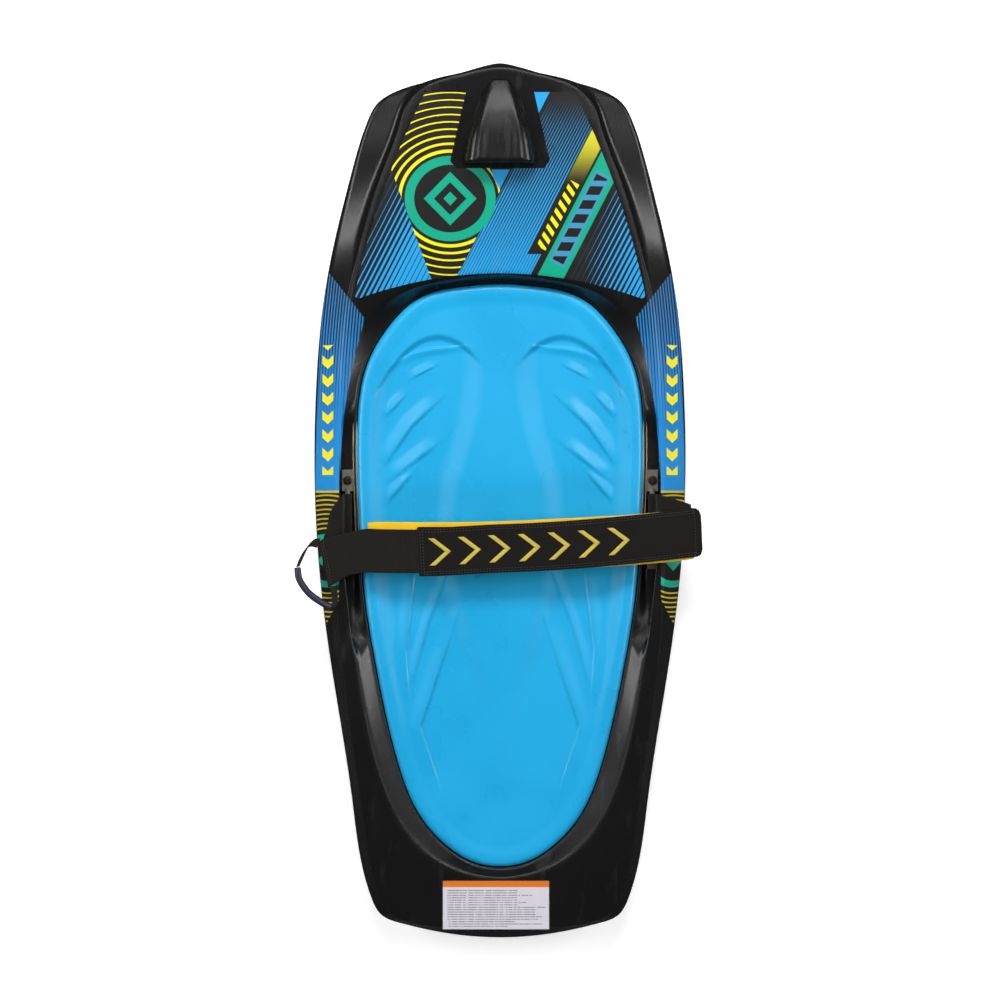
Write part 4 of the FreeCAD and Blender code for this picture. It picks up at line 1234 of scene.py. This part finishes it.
grey_steel = metal_paint("anchor_steel", srgb(98, 94, 86), srgb(142, 136, 126), 0.2, 0.42)
dark_steel = metal_paint("screw_steel", srgb(40, 39, 38), srgb(96, 92, 86), 0.8, 0.30)
brass = metal_paint("insert_brass", srgb(150, 112, 50), srgb(200, 160, 84), 0.9, 0.28)
KEPT = {
    "left_anchor_bar": grey_steel,
    "right_anchor_bar": grey_steel,
    "anchor_screws": dark_steel,
    "anchor_washers": dark_steel,
    "threaded_inserts": brass,
    "foam_port_plug": plug_paint(),
    "info_label": label_paint(),
}
for node, material in KEPT.items():
    mesh = frame["nodes"][node].data
    mesh.materials.clear()
    mesh.materials.append(material)


# ---- floor, light, camera (all in metres)

DECK_MIDDLE = (0.0, 0.0, 0.07)
VIEW_WIDTH = 1.482       # width of the deck's plane that fills the picture
LENS, SENSOR = 100, 36   # millimetres


def add_floor():
    """Pale paper under the board that glows a little, to the camera only, so that it
    stays white; further off it glows more, up to the colour of the surroundings."""
    mesh = bpy.data.meshes.new("floor")
    reach = 12.0
    corners = [(-reach, -reach, 0), (reach, -reach, 0), (reach, reach, 0), (-reach, reach, 0)]
    mesh.from_pydata(corners, [], [(0, 1, 2, 3)])
    paint = Paint("floor_paper")
    mesh.materials.append(paint.done(srgb(246, 246, 247), 0.9, specular=0.0))
    seen = paint.node("ShaderNodeLightPath", output="Is Camera Ray")
    far = paint.ease(paint.hypot(paint.x, paint.y), 1200, 4000)
    paint.feed(paint.bsdf.inputs["Emission Color"], (1, 1, 1, 1))
    paint.feed(paint.bsdf.inputs["Emission Strength"], seen * (0.50 + far * 0.26))
    floor = bpy.data.objects.new("floor", mesh)
    floor.visible_glossy = False
    floor.location.z = -0.0005
    bpy.context.scene.collection.objects.link(floor)


def add_light(name, place, size, power, seen_in="diffuse"):
    """A soft box or strip, seen either in the lit surfaces or in their reflections."""
    lamp = bpy.data.lights.new(name, "AREA")
    lamp.shape = "RECTANGLE"
    lamp.size, lamp.size_y = size
    lamp.energy = power
    light = bpy.data.objects.new(name, lamp)
    light.location = place
    aim = Vector(DECK_MIDDLE) - Vector(place)
    light.rotation_euler = aim.to_track_quat("-Z", "Y").to_euler()
    light.visible_camera = False
    light.visible_glossy = seen_in == "glossy"
    light.visible_diffuse = seen_in == "diffuse"
    bpy.context.scene.collection.objects.link(light)


def add_world():
    """Dim surroundings that look pale to the camera, like the floor."""
    world = bpy.data.worlds.new("studio")
    world.use_nodes = True
    tree = world.node_tree
    back = tree.nodes["Background"]
    back.inputs["Color"].default_value = (1, 1, 1, 1)
    path = tree.nodes.new("ShaderNodeLightPath")
    ramp = tree.nodes.new("ShaderNodeMapRange")
    tree.links.new(path.outputs["Is Camera Ray"], ramp.inputs["Value"])
    ramp.inputs["To Min"].default_value = 0.07
    ramp.inputs["To Max"].default_value = 0.80
    tree.links.new(ramp.outputs["Result"], back.inputs["Strength"])
    bpy.context.scene.world = world


def add_camera():
    """Straight above the deck, looking down."""
    lens = bpy.data.cameras.new("camera")
    lens.lens = LENS
    lens.sensor_width = SENSOR
    camera = bpy.data.objects.new("camera", lens)
    camera.location = (0.0, 0.0048, 0.0786 + VIEW_WIDTH * LENS / SENSOR)
    bpy.context.scene.collection.objects.link(camera)
    bpy.context.scene.camera = camera
    bpy.context.scene.view_settings.view_transform = "Standard"


add_floor()
add_world()
add_light("nose_box", (0.0, 2.5, 2.5), (1.8, 0.9), 90)
add_light("tail_box", (0.0, -2.8, 2.0), (1.6, 0.8), 25)
add_light("nose_strip", (0.0, 2.4, 2.9), (2.6, 0.30), 30, "glossy")
for name, side, box_power, glint_power in (("left", -1, 42, 7), ("right", 1, 36, 9)):
    add_light(name + "_box", (side * 2.6, 0.4, 2.0), (1.8, 0.8), box_power)
    add_light(name + "_strip", (side * 3.0, 0.4, 1.7), (2.6, 0.30), 40, "glossy")
    add_light(name + "_sheen", (side * 1.7, 0.3, 2.9), (2.2, 0.20), 6, "glossy")
    add_light(name + "_glint", (side * 0.95, 1.15, 3.5), (0.4, 0.4), glint_power, "glossy")
add_camera()
